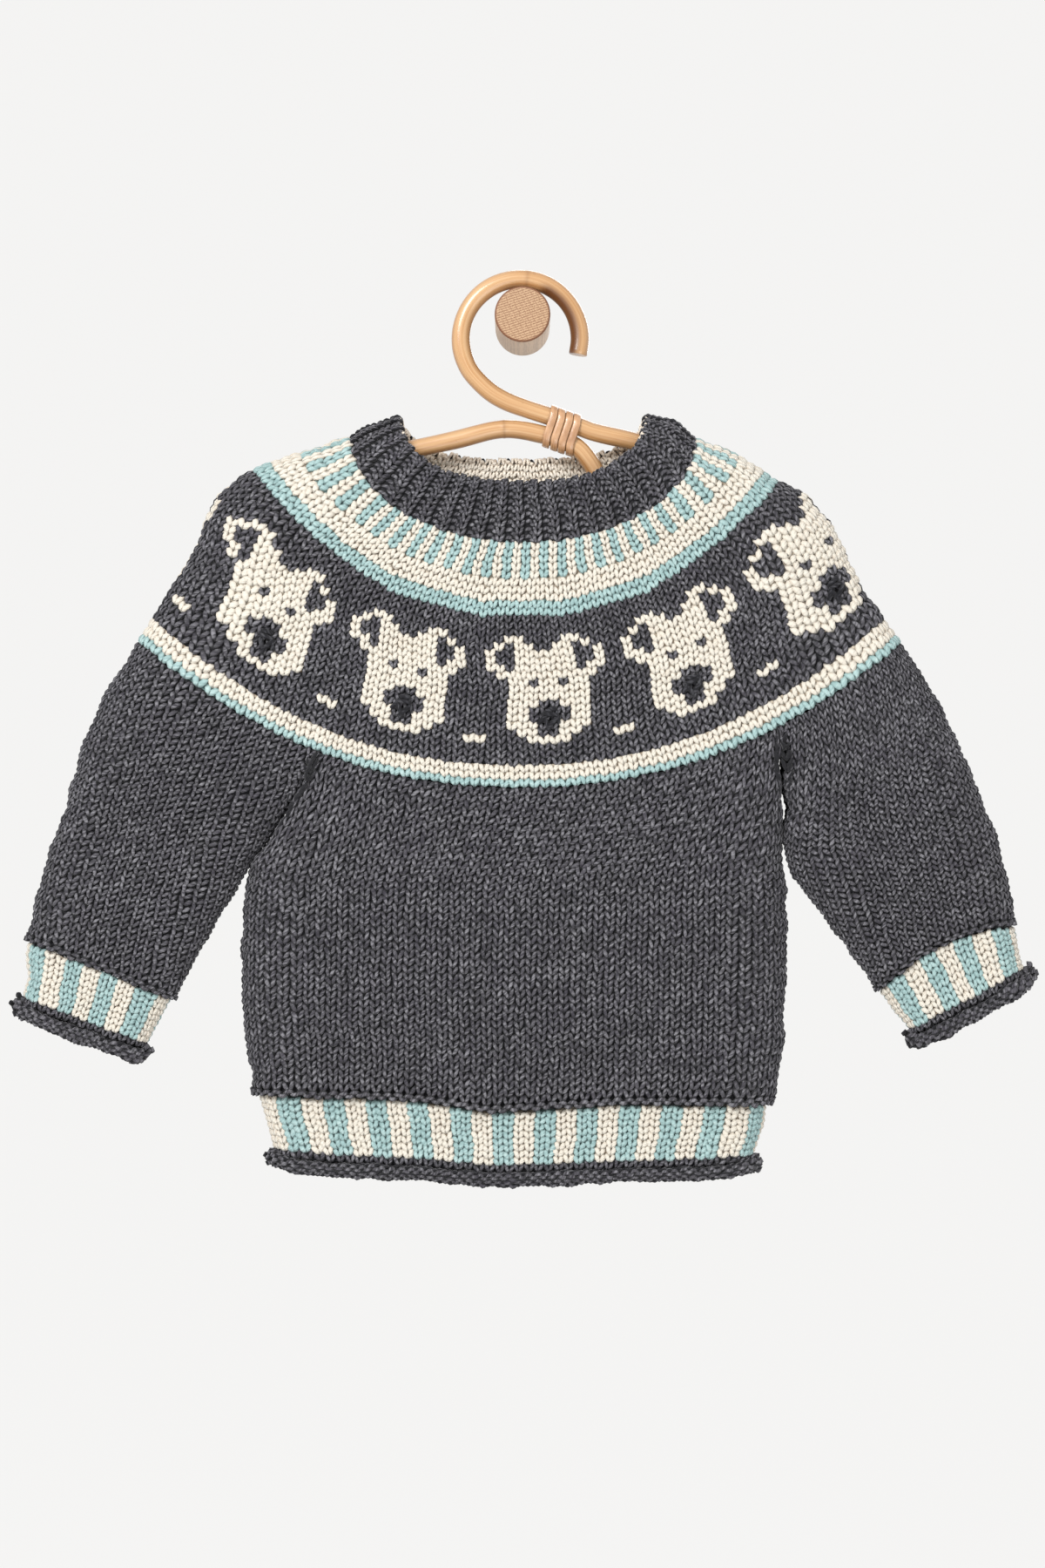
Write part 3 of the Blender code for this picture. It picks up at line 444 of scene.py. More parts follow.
def underarm(side: Side, corner_share: float, parts: Array) -> Array:
    """The underarm stitches on one side, from the middle of the fold up to the yoke's corner.

    Args:
        side: front or back.
        corner_share: where the corner stands along the yoke's edge.
        parts: 0 at the middle of the fold, 1 at the corner.

    Returns:
        One point for each part.
    """
    corner = yoke_edge(side, np.array([corner_share]))[0]
    angle = math.pi / 2.0 * parts
    points = np.repeat(corner[None], len(parts), axis=0)
    points[:, 1] = HANG_Y + (corner[1] - HANG_Y) * np.sin(angle)
    points[:, 2] = corner[2] - UNDERARM_DROP * np.cos(angle)
    return points


def body_top(side: Side, shares: Array) -> Array:
    """The body's first round on one side, from the left underarm to the right one."""
    run = UNDERARM_RIGHT - UNDERARM_LEFT
    part = (shares - BODY_GUSSET) / (1.0 - 2.0 * BODY_GUSSET)
    points = yoke_edge(side, UNDERARM_LEFT + np.clip(part, 0.0, 1.0) * run)
    left = shares < BODY_GUSSET
    right = shares > 1.0 - BODY_GUSSET
    points[left] = underarm(side, UNDERARM_LEFT, shares[left] / BODY_GUSSET)
    points[right] = underarm(side, UNDERARM_RIGHT, (1.0 - shares[right]) / BODY_GUSSET)
    return points


def left_sleeve_top(side: Side, shares: Array) -> Array:
    """The left sleeve's first round on one side, from the outer fold to the underarm."""
    part = np.clip(shares / (1.0 - SLEEVE_GUSSET), 0.0, 1.0)
    points = yoke_edge(side, UNDERARM_LEFT * part)
    under = shares > 1.0 - SLEEVE_GUSSET
    points[under] = underarm(side, UNDERARM_LEFT, (1.0 - shares[under]) / SLEEVE_GUSSET)
    points[:, 0] -= UNDERARM_GAP * smooth((shares - 0.5) * 2.0)
    return points


def right_sleeve_top(side: Side, shares: Array) -> Array:
    """The right sleeve's first round on one side, from the underarm to the outer fold."""
    part = np.clip((shares - SLEEVE_GUSSET) / (1.0 - SLEEVE_GUSSET), 0.0, 1.0)
    points = yoke_edge(side, UNDERARM_RIGHT + part * (1.0 - UNDERARM_RIGHT))
    under = shares < SLEEVE_GUSSET
    points[under] = underarm(side, UNDERARM_RIGHT, shares[under] / SLEEVE_GUSSET)
    points[:, 0] += UNDERARM_GAP * smooth(1.0 - shares * 2.0)
    return points


# Waves of the cloth's unevenness, each as wave counts per metre along X and Z and a start
WANDER_OUT = ((31.0, 12.0, 0.3), (-17.0, 26.0, 2.1), (9.0, -41.0, 4.0), (47.0, 38.0, 1.2))
WANDER_SIDEWAYS = ((13.0, 34.0, 1.1), (-22.0, 51.0, 0.4), (5.0, -70.0, 3.0))
WANDER_UP = ((38.0, 9.0, 2.4), (-64.0, 15.0, 0.9), (83.0, -7.0, 5.1))

# How far the unevenness moves the cloth, and over what depth a crease of one side fades to the other
WANDER_REACH = 0.00035
WANDER_RISE = 0.00030
CREASE_FADE = 0.012

# A flattened tube's net: points along one side, and rounds of a tube and of a roll
HALF_POINTS = 110
TUBE_ROUNDS = 90
ROLL_TURNS = 24


class Spots(NamedTuple):
    """Places on a cloth, with the directions and lengths that a stitch there needs."""

    place: Array
    across: Array
    down: Array
    outward: Array


@dataclass
class Lattice:
    """A dense net of points on the outer face of a tube of cloth, from which any place on it is read.

    Attributes:
        points: rounds of points, each round closed.
        net: at each point its place, its steps across and down, and its outward direction.
    """

    points: Array
    net: Array = field(init=False)

    def __post_init__(self) -> None:
        """Works out the directions at each point of the net."""
        self.unsettle()

    def directions(self) -> tuple[Array, Array, Array]:
        """Steps across and down, and outward directions, at each point.

        Returns:
            Three arrays in the shape of the points.
        """
        across = (np.roll(self.points, -1, axis=1) - np.roll(self.points, 1, axis=1)) / 2.0
        down = np.gradient(self.points, axis=0)
        return across, down, unit(-np.cross(across, down))

    def unsettle(self) -> None:
        """Presses the creases in and gives the cloth its slight hand-knit unevenness."""
        outward = self.directions()[2]
        move = np.zeros(self.points.shape[:2])
        for side, creases in ((Side.FRONT, FRONT_CREASES), (Side.BACK, BACK_CREASES)):
            facing = smooth(0.5 + side.value * (self.points[..., 1] - HANG_Y) / CREASE_FADE)
            for crease in creases:
                lean = math.radians(crease.angle)
                offset_x = self.points[..., 0] - crease.x
                offset_z = self.points[..., 2] - crease.z
                run = offset_x * math.cos(lean) + offset_z * math.sin(lean)
                rise = offset_z * math.cos(lean) - offset_x * math.sin(lean)
                far = (run / crease.length) ** 2 + (rise / crease.width) ** 2
                move -= facing * crease.depth * np.exp(-far)
        move += wander(self.points, WANDER_OUT) * WANDER_REACH
        self.points = self.points + outward * move[..., None]
        self.points[..., 0] += wander(self.points, WANDER_SIDEWAYS) * WANDER_REACH
        self.points[..., 2] += wander(self.points, WANDER_UP) * WANDER_RISE
        across, down, outward = self.directions()
        rounds, columns = self.points.shape[:2]
        whole_steps = (across * (columns / 2.0), down * (rounds - 1.0))
        self.net = np.concatenate((self.points, *whole_steps, outward), axis=2)

    def at(self, down: Array, across: Array) -> Spots:
        """Reads the cloth at places given as shares.

        Args:
            down: shares of the cloth's length.
            across: 0 to 1 along the front from the left fold, 1 to 2 back along the back.

        Returns:
            The spots, their across and down steps measured for one whole share.
        """
        rounds, columns = self.points.shape[:2]
        row = np.clip(down, 0.0, 1.0) * (rounds - 1)
        column = np.mod(across, 2.0) * columns / 2.0
        upper = np.minimum(row.astype(int), rounds - 2)
        left = np.floor(column).astype(int)
        part_down = (row - upper)[:, None]
        part_across = (column - left)[:, None]
        left = left % columns
        right = (left + 1) % columns
        high = self.net[upper, left] * (1.0 - part_across) + self.net[upper, right] * part_across
        low = self.net[upper + 1, left] * (1.0 - part_across) + self.net[upper + 1, right] * part_across
        read = high * (1.0 - part_down) + low * part_down
        return Spots(read[:, 0:3], read[:, 3:6], read[:, 6:9], unit(read[:, 9:12]))


def wander(points: Array, waves: Sequence[tuple[float, float, float]]) -> Array:
    """A slow uneven wave over the cloth, the same at the same place on any piece.

    Args:
        points: places on the cloth.
        waves: wave counts along X and Z, and a start, of each wave.

    Returns:
        A value about -1 to 1 for each point.
    """
    total = np.zeros(points.shape[:-1])
    for count_x, count_z, start in waves:
        phase = 2.0 * math.pi * (points[..., 0] * count_x + points[..., 2] * count_z)
        total += np.sin(phase + start + 40.0 * points[..., 1])
    return total / math.sqrt(len(waves))


TopEdge = Callable[[Side, Array], Array]

# A rolled edge curls up and thickens at the folds: how far, how much, and over what share of a side
ROLL_END_LIFT = 0.0030
ROLL_END_SWELL = 0.14
ROLL_END_SHARE = 0.05

# How unevenly thick a rolled edge is, and where its turn starts, in degrees
ROLL_UNEVENNESS = 0.07
ROLL_START = 120.0


def dip_at(shares: Array) -> Array:
    """How far the body's lower edge drops at shares of its width."""
    return np.array([read_table(HEM_DIPS, float(share)).drop for share in shares])


def closed_round(row: Row, shares: Array, drops: Array) -> Array:
    """The front and back of a round joined at its folds.

    Args:
        row: the round.
        shares: shares of each half's length.
        drops: how far it hangs lower at each share.

    Returns:
        The points once round.
    """
    sides = [half_round(row, side, shares) for side in Side]
    for line in sides:
        line[:, 2] -= drops
    return joined(*sides)


def joined(front: Array, back: Array) -> Array:
    """One closed round from a front and a back that both run from left to right."""
    return np.concatenate((front, back[-2:0:-1]))


def tube_lattice(
    rows: Sequence[Row],
    top: Optional[TopEdge] = None,
    blend: float = 1.0,
    dip: Optional[Callable[[float], float]] = None,
) -> Lattice:
    """A flattened tube that is read from a table.

    Args:
        rows: the table.
        top: the first round of each side, where the tube leaves another one.
        blend: share of the length over which the tube leaves that first round.
        dip: weight of the uneven lower edge at a share of the length.

    Returns:
        The tube's lattice.
    """
    shares = np.linspace(0.0, 1.0, HALF_POINTS + 1)
    drops = dip_at(shares)
    none = np.zeros(len(shares))
    lift = 0.0
    if top:
        lift = joined(*(top(side, shares) for side in Side))
        lift = lift - closed_round(read_table(rows, 0.0), shares, none)
    points = []
    for share in np.linspace(0.0, 1.0, TUBE_ROUNDS + 1):
        line = closed_round(read_table(rows, share), shares, drops * dip(share) if dip else none)
        points.append(line + lift * (1.0 - smooth(share / blend)))
    return Lattice(np.array(points))


def roll_lattice(row: Row, radius: float, dip_weight: float) -> Lattice:
    """A rolled edge: a round tube along a flattened round, its turn running over the outside.

    Args:
        row: the round that its middle follows.
        radius: the roll's mean radius.
        dip_weight: how much of the uneven lower edge it follows.

    Returns:
        The roll's lattice, its length running once round the roll.
    """
    shares = np.linspace(0.0, 1.0, HALF_POINTS + 1)
    near_fold = np.exp(-(np.minimum(shares, 1.0 - shares) / ROLL_END_SHARE) ** 2)
    centres = closed_round(row, shares, dip_at(shares) * dip_weight)
    ahead = unit(np.roll(centres, -1, axis=0) - np.roll(centres, 1, axis=0))
    outward = unit(np.cross(ahead, np.array((0.0, 0.0, 1.0))))
    upward = np.cross(outward, ahead)
    curl = joined(near_fold, near_fold)
    centres = centres + np.array((0.0, 0.0, 1.0)) * ROLL_END_LIFT * curl[:, None]
    uneven = ROLL_UNEVENNESS * wander(centres, WANDER_SIDEWAYS)
    thick = radius * (1.0 + uneven + ROLL_END_SWELL * curl)
    points = []
    for turn in np.linspace(0.0, 1.0, ROLL_TURNS + 1):
        angle = math.radians(ROLL_START - 360.0 * turn)
        reach = outward * math.cos(angle) + upward * math.sin(angle)
        points.append(centres + reach * thick[:, None])
    return Lattice(np.array(points))


def new_object(name: str, data: bpy.types.ID) -> Piece:
    """An object of the scene that holds a mesh, a light or a camera."""
    item = bpy.data.objects.new(name, data)
    bpy.context.scene.collection.objects.link(item)
    return item


def smooth_mesh(builder: Builder, name: str, sharp: Optional[float] = None) -> Mesh:
    """Ends a builder as a smooth mesh, its faces turned outward.

    Args:
        builder: what was built.
        name: the mesh's name.
        sharp: the angle in degrees above which an edge stays sharp.

    Returns:
        The mesh.
    """
    bmesh.ops.recalc_face_normals(builder, faces=builder.faces[:])
    mesh = bpy.data.meshes.new(name)
    builder.to_mesh(mesh)
    builder.free()
    mesh.shade_smooth()
    if sharp:
        mesh.set_sharp_from_angle(angle=math.radians(sharp))
    return mesh


def band_of_faces(builder: Builder, here: Ring, after: Ring) -> list[bmesh.types.BMFace]:
    """A closed band of faces between two rings.

    Args:
        builder: the mesh that is built.
        here: the first ring.
        after: the second one, with as many vertices.

    Returns:
        The faces in the rings' order.
    """
    faces = []
    for side in range(len(here)):
        turn = (side + 1) % len(here)
        faces.append(builder.faces.new((here[side], here[turn], after[turn], after[side])))
    return faces


def map_face(face: bmesh.types.BMFace, layer: MapLayer, places: Sequence[tuple[float, float]]) -> None:
    """Gives a face's corners their places on the map."""
    for loop, place in zip(face.loops, places):
        loop[layer].uv = place


def settle(piece: Piece, nodes: Sequence[str]) -> Piece:
    """Fixes a finished piece to the sweater's one body, hides the solids that it replaces and logs its faces.

    Args:
        piece: the finished piece.
        nodes: the nodes that it replaces.

    Returns:
        The piece.
    """
    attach(piece, ROOT)
    if nodes:
        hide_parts(*nodes)
    LOG.info("%s: %d faces", piece.name, len(piece.data.polygons))
    return piece


def feed(tree: bpy.types.NodeTree, socket: Socket, value: object) -> None:
    """Links a socket to another one, or gives it a value.

    Args:
        tree: the tree that both are in.
        socket: the input.
        value: what it gets.
    """
    if isinstance(value, Socket):
        tree.links.new(value, socket)
    else:
        socket.default_value = value


class Painter:
    """Builds the nodes of one material in short calls."""

    def __init__(self, name: str) -> None:
        """Starts a material with a principled shader."""
        self.material = bpy.data.materials.new(name)
        self.material.use_nodes = True
        self.tree = self.material.node_tree
        self.shader = self.tree.nodes["Principled BSDF"]

    def node(self, kind: str, **inputs: object) -> bpy.types.Node:
        """Adds a node.

        Args:
            kind: the node's type.
            inputs: its inputs by name, underscores for spaces, each a value or a socket to link.

        Returns:
            The node.
        """
        node = self.tree.nodes.new(kind)
        for name, value in inputs.items():
            self.feed(node.inputs[name.replace("_", " ")], value)
        return node

    def feed(self, socket: Socket, value: object) -> None:
        """Links a socket of this material, or gives it a value."""
        feed(self.tree, socket, value)

    def math(self, operation: str, first: object, second: object = 0.0) -> Socket:
        """The result of an operation on two numbers or sockets.

        Args:
            operation: the math node's operation.
            first: its first number or socket.
            second: its second one.

        Returns:
            The result.
        """
        node = self.tree.nodes.new("ShaderNodeMath")
        node.operation = operation
        self.feed(node.inputs[0], first)
        self.feed(node.inputs[1], second)
        return node.outputs[0]

    def times(self, first: object, second: object) -> Socket:
        """The product of two numbers or sockets."""
        return self.math("MULTIPLY", first, second)

    def plus(self, first: object, second: object) -> Socket:
        """The sum of two numbers or sockets."""
        return self.math("ADD", first, second)

    def vector(self, x: object, y: object, z: object = 0.0) -> Socket:
        """A vector from three numbers or sockets."""
        return self.node("ShaderNodeCombineXYZ", X=x, Y=y, Z=z).outputs[0]

    def noise(self, place: Socket, scale: float, detail: float = 2.0) -> Socket:
        """Noise from 0 to 1 about a half at a place."""
        return self.node("ShaderNodeTexNoise", Vector=place, Scale=scale, Detail=detail).outputs[0]

    def grain(self, *axes: tuple[Socket, float]) -> Socket:
        """Noise at a place whose axes are each given with their own scale."""
        return self.noise(self.vector(*(self.times(axis, scale) for axis, scale in axes)), 1.0)

    def ramp(self, share: object, stops: Sequence[tuple[float, Colour]]) -> Socket:
        """Colours read along a share.

        Args:
            share: the socket that is read.
            stops: places and colours in rising order.

        Returns:
            The colour socket.
        """
        node = self.tree.nodes.new("ShaderNodeValToRGB")
        bars = node.color_ramp.elements
        while len(bars) < len(stops):
            bars.new(0.5)
        for bar, (place, colour) in zip(bars, stops):
            bar.position = place
            bar.color = (*colour, 1.0)
        self.feed(node.inputs[0], share)
        return node.outputs[0]

    def blend(self, share: object, first: object, second: object, mode: str = "MIX") -> Socket:
        """One colour laid over another.

        Args:
            share: how much of the second one.
            first: the lower colour.
            second: the upper colour.
            mode: how they are joined.

        Returns:
            The colour socket.
        """
        node = self.tree.nodes.new("ShaderNodeMix")
        node.data_type = "RGBA"
        node.blend_type = mode
        self.feed(node.inputs[0], share)
        for place, colour in ((6, first), (7, second)):
            self.feed(node.inputs[place], colour if isinstance(colour, Socket) else (*colour, 1.0))
        return node.outputs[2]

    def relief(self, height: object, strength: float, distance: float) -> None:
        """Raises the surface by a height."""
        bump = self.node("ShaderNodeBump", Strength=strength, Distance=distance, Height=height)
        self.feed(self.shader.inputs["Normal"], bump.outputs[0])

    def object_place(self) -> Socket:
        """Places in the object's own frame."""
        return self.tree.nodes.new("ShaderNodeTexCoord").outputs["Object"]

    def attribute(self, name: str) -> Socket:
        """A number that the mesh carries at its points."""
        node = self.tree.nodes.new("ShaderNodeAttribute")
        node.attribute_name = name
        return node.outputs["Fac"]

    def uv(self) -> tuple[Socket, Socket]:
        """The piece's own map: along it, and round or across it."""
        node = self.tree.nodes.new("ShaderNodeUVMap")
        node.uv_map = MAP_NAME
        parts = self.node("ShaderNodeSeparateXYZ", Vector=node.outputs[0])
        return parts.outputs[0], parts.outputs[1]

    def finish(self, colour: object, roughness: float, sheen: float = 0.0, coat: float = 0.0) -> Material:
        """Gives the shader its colour and gloss.

        Args:
            colour: a colour or a socket.
            roughness: how dull it is.
            sheen: how much a fuzz of fibres lightens it.
            coat: how much varnish or natural wax it has.

        Returns:
            The material.
        """
        for name, value in (
            ("Base Color", colour),
            ("Roughness", roughness),
            ("Sheen Weight", sheen),
            ("Sheen Roughness", 0.5),
            ("Coat Weight", coat),
            ("Coat Roughness", 0.25),
            ("Specular IOR Level", 0.3 if sheen else 0.5),
        ):
            self.feed(self.shader.inputs[name], value)
        return self.material


# A yarn's plies round a strand and along it, and how dense its lighter stretches and its tints are
PLIES = 3.0
PLY_TWIST = 3.6
STRETCHES = 160.0
DRIFTS = 90.0

# How much a stitch's tone and a lighter stretch count
TONE_WEIGHT = 0.22
STRETCH_WEIGHT = 0.35

# Where a strand stands highest along it, and how wide the painted shade at its edges is
STRAND_MIDDLE = 0.42
EDGE_SHADE_WIDTH = 0.6


@dataclass(frozen=True)
class YarnFinish:
    """A plied wool yarn, mixed from darker and lighter fibres.

    Attributes:
        name: the material's name.
        shades: colours of its fibres from the darkest to the lightest.
        tint: the colour that some stretches drift towards.
        tint_share: how far they drift.
        streaks: how strongly single fibres show.
        fuzz: how much its loose fibres lighten it.
        crease: the painted shade colour where it turns under the next strand.
        edge_shade_share: how much of that painted shade shows at a strand's edges.
    """

    name: str
    shades: tuple[Colour, Colour, Colour]
    tint: Colour
    tint_share: float
    streaks: float
    fuzz: float
    crease: Colour
    edge_shade_share: float

    def build(self) -> Material:
        """The yarn's material, its plies and fibres running along each stitch."""
        paint = Painter(self.name)
        along, around = paint.uv()
        tone = paint.attribute(TONE)
        ply = paint.plus(paint.times(around, PLIES), paint.times(along, PLY_TWIST))
        lengthwise = paint.plus(paint.times(along, 1.3), paint.times(around, -0.6))
        fibres = paint.noise(paint.vector(ply, lengthwise, paint.times(tone, 91.0)), 1.5, 2.0)
        stretch = paint.noise(paint.object_place(), STRETCHES, 1.0)
        shade = 0.5
        for value, weight in ((fibres, self.streaks), (tone, TONE_WEIGHT), (stretch, STRETCH_WEIGHT)):
            shade = paint.plus(shade, paint.times(paint.plus(value, -0.5), weight))
        dark, middle, light = self.shades
        colour = paint.ramp(shade, ((0.12, dark), (0.5, middle), (0.9, light)))
        drift = paint.times(paint.noise(paint.object_place(), DRIFTS, 1.0), self.tint_share)
        colour = paint.blend(drift, colour, self.tint)
        # Painted shade: the crease colour darkens each strand towards its edges and ends
        colour = paint.blend(self._edge_shade(paint, along, around), colour, self.crease)
        groove = paint.math("ABSOLUTE", paint.math("SINE", paint.times(ply, math.pi)))
        paint.relief(paint.plus(paint.times(groove, 0.7), paint.times(fibres, 0.6)), 0.7, 0.00035)
        return paint.finish(colour, 0.92, sheen=self.fuzz)

    def _edge_shade(self, paint: Painter, along: Socket, around: Socket) -> Socket:
        """How much of the crease's painted shade shows: none on a strand's back, more to its edges and its
        ends.

        Args:
            paint: the material that is built.
            along: place along the strand.
            around: place round it, its outer face from 0 to a quarter.

        Returns:
            The share.
        """
        side = paint.times(paint.math("ABSOLUTE", paint.plus(around, -0.125)), 8.0)
        end = paint.math("ABSOLUTE", paint.plus(paint.math("FRACT", along), -STRAND_MIDDLE))
        far = paint.math("MAXIMUM", side, paint.times(end, 2.3))
        near = paint.math("MAXIMUM", paint.plus(far, EDGE_SHADE_WIDTH - 1.0), 0.0)
        near = paint.math("MINIMUM", near, EDGE_SHADE_WIDTH)
        return paint.times(paint.times(near, near), self.edge_shade_share / EDGE_SHADE_WIDTH ** 2)


@dataclass(frozen=True)
class ShadedClothFinish:
    """What shows of a cloth between and behind its stitches, darker than its yarn as painted shade.

    Attributes:
        name: the material's name.
        deep: the painted shade colour in the deepest gaps.
        ground: colour of the cloth, darker than its yarn as painted shade.
    """

    name: str
    deep: Colour
    ground: Colour

    def build(self) -> Material:
        """The cloth's material, with the purl bumps of its reverse as rows along its own map and painted
        shade in their troughs.
        """
        paint = Painter(self.name)
        rounds, wales = paint.uv()
        waves = [paint.math("SINE", paint.times(axis, 2.0 * math.pi)) for axis in (rounds, wales)]
        bumps = paint.plus(*waves)
        mottle = paint.noise(paint.object_place(), 700.0, 3.0)
        share = paint.plus(paint.times(bumps, 0.12), mottle)
        # Painted shade: darker in the troughs of the purl bumps
        colour = paint.ramp(share, ((0.3, self.deep), (0.75, self.ground)))
        paint.relief(paint.plus(bumps, mottle), 0.8, 0.0006)
        return paint.finish(colour, 0.95, sheen=0.1)


# Each yarn ends with its painted shade colour at a strand's edges and how much of it shows
CHARCOAL = YarnFinish(
    "charcoal_yarn",
    ((0.020, 0.020, 0.023), (0.066, 0.065, 0.070), (0.205, 0.203, 0.217)),
    (0.064, 0.054, 0.080), 0.35, 2.1, 0.10, (0.006, 0.006, 0.008), 0.95,
)
CREAM = YarnFinish(
    "cream_yarn",
    ((0.54, 0.485, 0.400), (0.58, 0.548, 0.475), (0.61, 0.590, 0.520)),
    (0.60, 0.54, 0.48), 0.30, 0.8, 0.20, (0.47, 0.395, 0.315), 0.45,
)
# The cream yarn lightened for the facing: painted light where the neckband shades it
LIT_FACING_CREAM = YarnFinish(
    "facing_cream_lit_yarn",
    ((0.68, 0.61, 0.50), (0.82, 0.76, 0.66), (0.87, 0.84, 0.76)),
    (0.78, 0.70, 0.61), 0.30, 0.8, 0.20, (0.50, 0.40, 0.31), 0.55,
)
BLUE = YarnFinish(
    "duck_egg_blue_yarn",
    ((0.17, 0.27, 0.265), (0.285, 0.410, 0.400), (0.43, 0.55, 0.53)),
    (0.27, 0.385, 0.405), 0.35, 1.2, 0.18, (0.145, 0.240, 0.238), 0.55,
)
BLACK = YarnFinish(
    "black_yarn",
    ((0.003, 0.003, 0.004), (0.012, 0.012, 0.015), (0.09, 0.09, 0.10)),
    (0.012, 0.011, 0.016), 0.30, 1.6, 0.05, (0.002, 0.002, 0.003), 0.30,
)
# Cloth colours darker than their yarns: painted shade between and behind the stitches
CHARCOAL_SHADED_CLOTH = ShadedClothFinish("charcoal_cloth", (0.007, 0.007, 0.009), (0.022, 0.022, 0.025))
CREAM_SHADED_CLOTH = ShadedClothFinish("cream_cloth", (0.30, 0.23, 0.165), (0.52, 0.46, 0.37))
BLUE_SHADED_CLOTH = ShadedClothFinish("duck_egg_blue_shaded_cloth", (0.10, 0.165, 0.165), (0.21, 0.31, 0.30))


class RingSpec(NamedTuple):
    """One ring of a strand: its middle in stitch units and its half width and half height."""

    x: float
    y: float
    z: float
    half_width: float
    half_height: float


@dataclass(frozen=True)
class StitchForm:
    """The yarn of one stitch in units of its width, its row and its thickness, as pointed strands.

    Attributes:
        stitch: what it shows.
        strands: each strand's rings from one pointed end to the other; the end rings are points.
        flat: true where a strand runs across, so its rings stand along the row direction.
        sides: how many sides a strand has.
    """

    stitch: Stitch
    strands: tuple[tuple[RingSpec, ...], ...]
    flat: bool
    sides: int = 4

    def build(self) -> Piece:
        """The stitch as one object, each strand a closed spindle with its own map."""
        builder = bmesh.new()
        layer = builder.loops.layers.uv.new(MAP_NAME)
        for number, strand in enumerate(self.strands):
            self._spindle(builder, layer, strand, number * 2.0)
        name = "form_" + self.stitch.value
        return new_object(name, smooth_mesh(builder, name))

    def _spindle(self, builder: Builder, layer: MapLayer, strand: Sequence[RingSpec], start: float) -> None:
        """Adds one strand.

        Args:
            builder: the mesh that is built.
            layer: its map.
            strand: the strand's rings.
            start: where the strand's map starts along.
        """
        rings = []
        for ring in strand[1:-1]:
            verts = []
            for side in range(self.sides):
                angle = 2.0 * math.pi * (side + 0.5) / self.sides
                wide = ring.half_width * math.cos(angle)
                high = ring.half_height * math.sin(angle)
                shift = (0.0, wide) if self.flat else (wide, 0.0)
                verts.append(builder.verts.new((ring.x + shift[0], ring.y + shift[1], ring.z + high)))
            rings.append(verts)
        ends = [builder.verts.new(ring[:3]) for ring in (strand[0], strand[-1])]
        marks = [start + place / (len(strand) - 1) for place in range(len(strand))]
        for side in range(self.sides):
            turn = (side + 1) % self.sides
            low = side / self.sides
            high = (side + 1) / self.sides
            tip = builder.faces.new((ends[0], rings[0][side], rings[0][turn]))
            map_face(tip, layer, ((marks[0], low), (marks[1], low), (marks[1], high)))
            for here, after, near, far in zip(rings, rings[1:], marks[1:], marks[2:]):
                band = builder.faces.new((here[side], here[turn], after[turn], after[side]))
                map_face(band, layer, ((near, low), (near, high), (far, high), (far, low)))
            tip = builder.faces.new((ends[1], rings[-1][turn], rings[-1][side]))
            map_face(tip, layer, ((marks[-1], low), (marks[-2], high), (marks[-2], low)))


def mirrored(strand: Sequence[RingSpec]) -> tuple[RingSpec, ...]:
    """The strand on the other side of the stitch."""
    return tuple(ring._replace(x=-ring.x) for ring in strand)


KNIT_LEG = (
    RingSpec(0.01, -0.82, -0.34, 0.0, 0.0),
    RingSpec(0.120, -0.49, 0.10, 0.225, 0.47),
    RingSpec(0.250, -0.04, 0.17, 0.275, 0.63),
    RingSpec(0.360, 0.42, -0.06, 0.225, 0.51),
    RingSpec(0.45, 0.87, -0.60, 0.0, 0.0),
)
FULL_LEG = (
    RingSpec(0.02, -0.84, -0.34, 0.0, 0.0),
    RingSpec(0.130, -0.50, 0.08, 0.280, 0.50),
    RingSpec(0.250, -0.04, 0.16, 0.335, 0.64),
    RingSpec(0.355, 0.42, -0.06, 0.280, 0.54),
    RingSpec(0.45, 0.88, -0.60, 0.0, 0.0),
)
PURL_HEAD = (
    RingSpec(-0.60, -0.06, -0.30, 0.0, 0.0),
    RingSpec(-0.28, 0.17, 0.08, 0.36, 0.46),
    RingSpec(0.0, 0.27, 0.20, 0.40, 0.58),
    RingSpec(0.28, 0.17, 0.08, 0.36, 0.46),
    RingSpec(0.60, -0.06, -0.30, 0.0, 0.0),
)
PURL_FOOT = tuple(ring._replace(x=ring.x + 0.5, y=-ring.y) for ring in PURL_HEAD)
SATIN_STRAND = (
    RingSpec(0.0, -0.50, -0.45, 0.0, 0.0),
    RingSpec(0.0, -0.34, 0.10, 0.42, 0.40),
    RingSpec(0.0, 0.0, 0.30, 0.50, 0.50),
    RingSpec(0.0, 0.34, 0.10, 0.42, 0.40),
    RingSpec(0.0, 0.50, -0.45, 0.0, 0.0),
)
FORMS = (
    StitchForm(Stitch.KNIT, (KNIT_LEG, mirrored(KNIT_LEG)), flat=False),
    StitchForm(Stitch.FULL, (FULL_LEG, mirrored(FULL_LEG)), flat=False),
    StitchForm(Stitch.PURL, (PURL_HEAD, PURL_FOOT), flat=True),
    StitchForm(Stitch.SATIN, (SATIN_STRAND,), flat=False, sides=6),
)


class LaidStitch(NamedTuple):
    """Where one stitch goes: its middle, which way it points and faces, its size and its tone."""

    place: Array
    up: Array
    out: Array
    size: Array
    tone: float


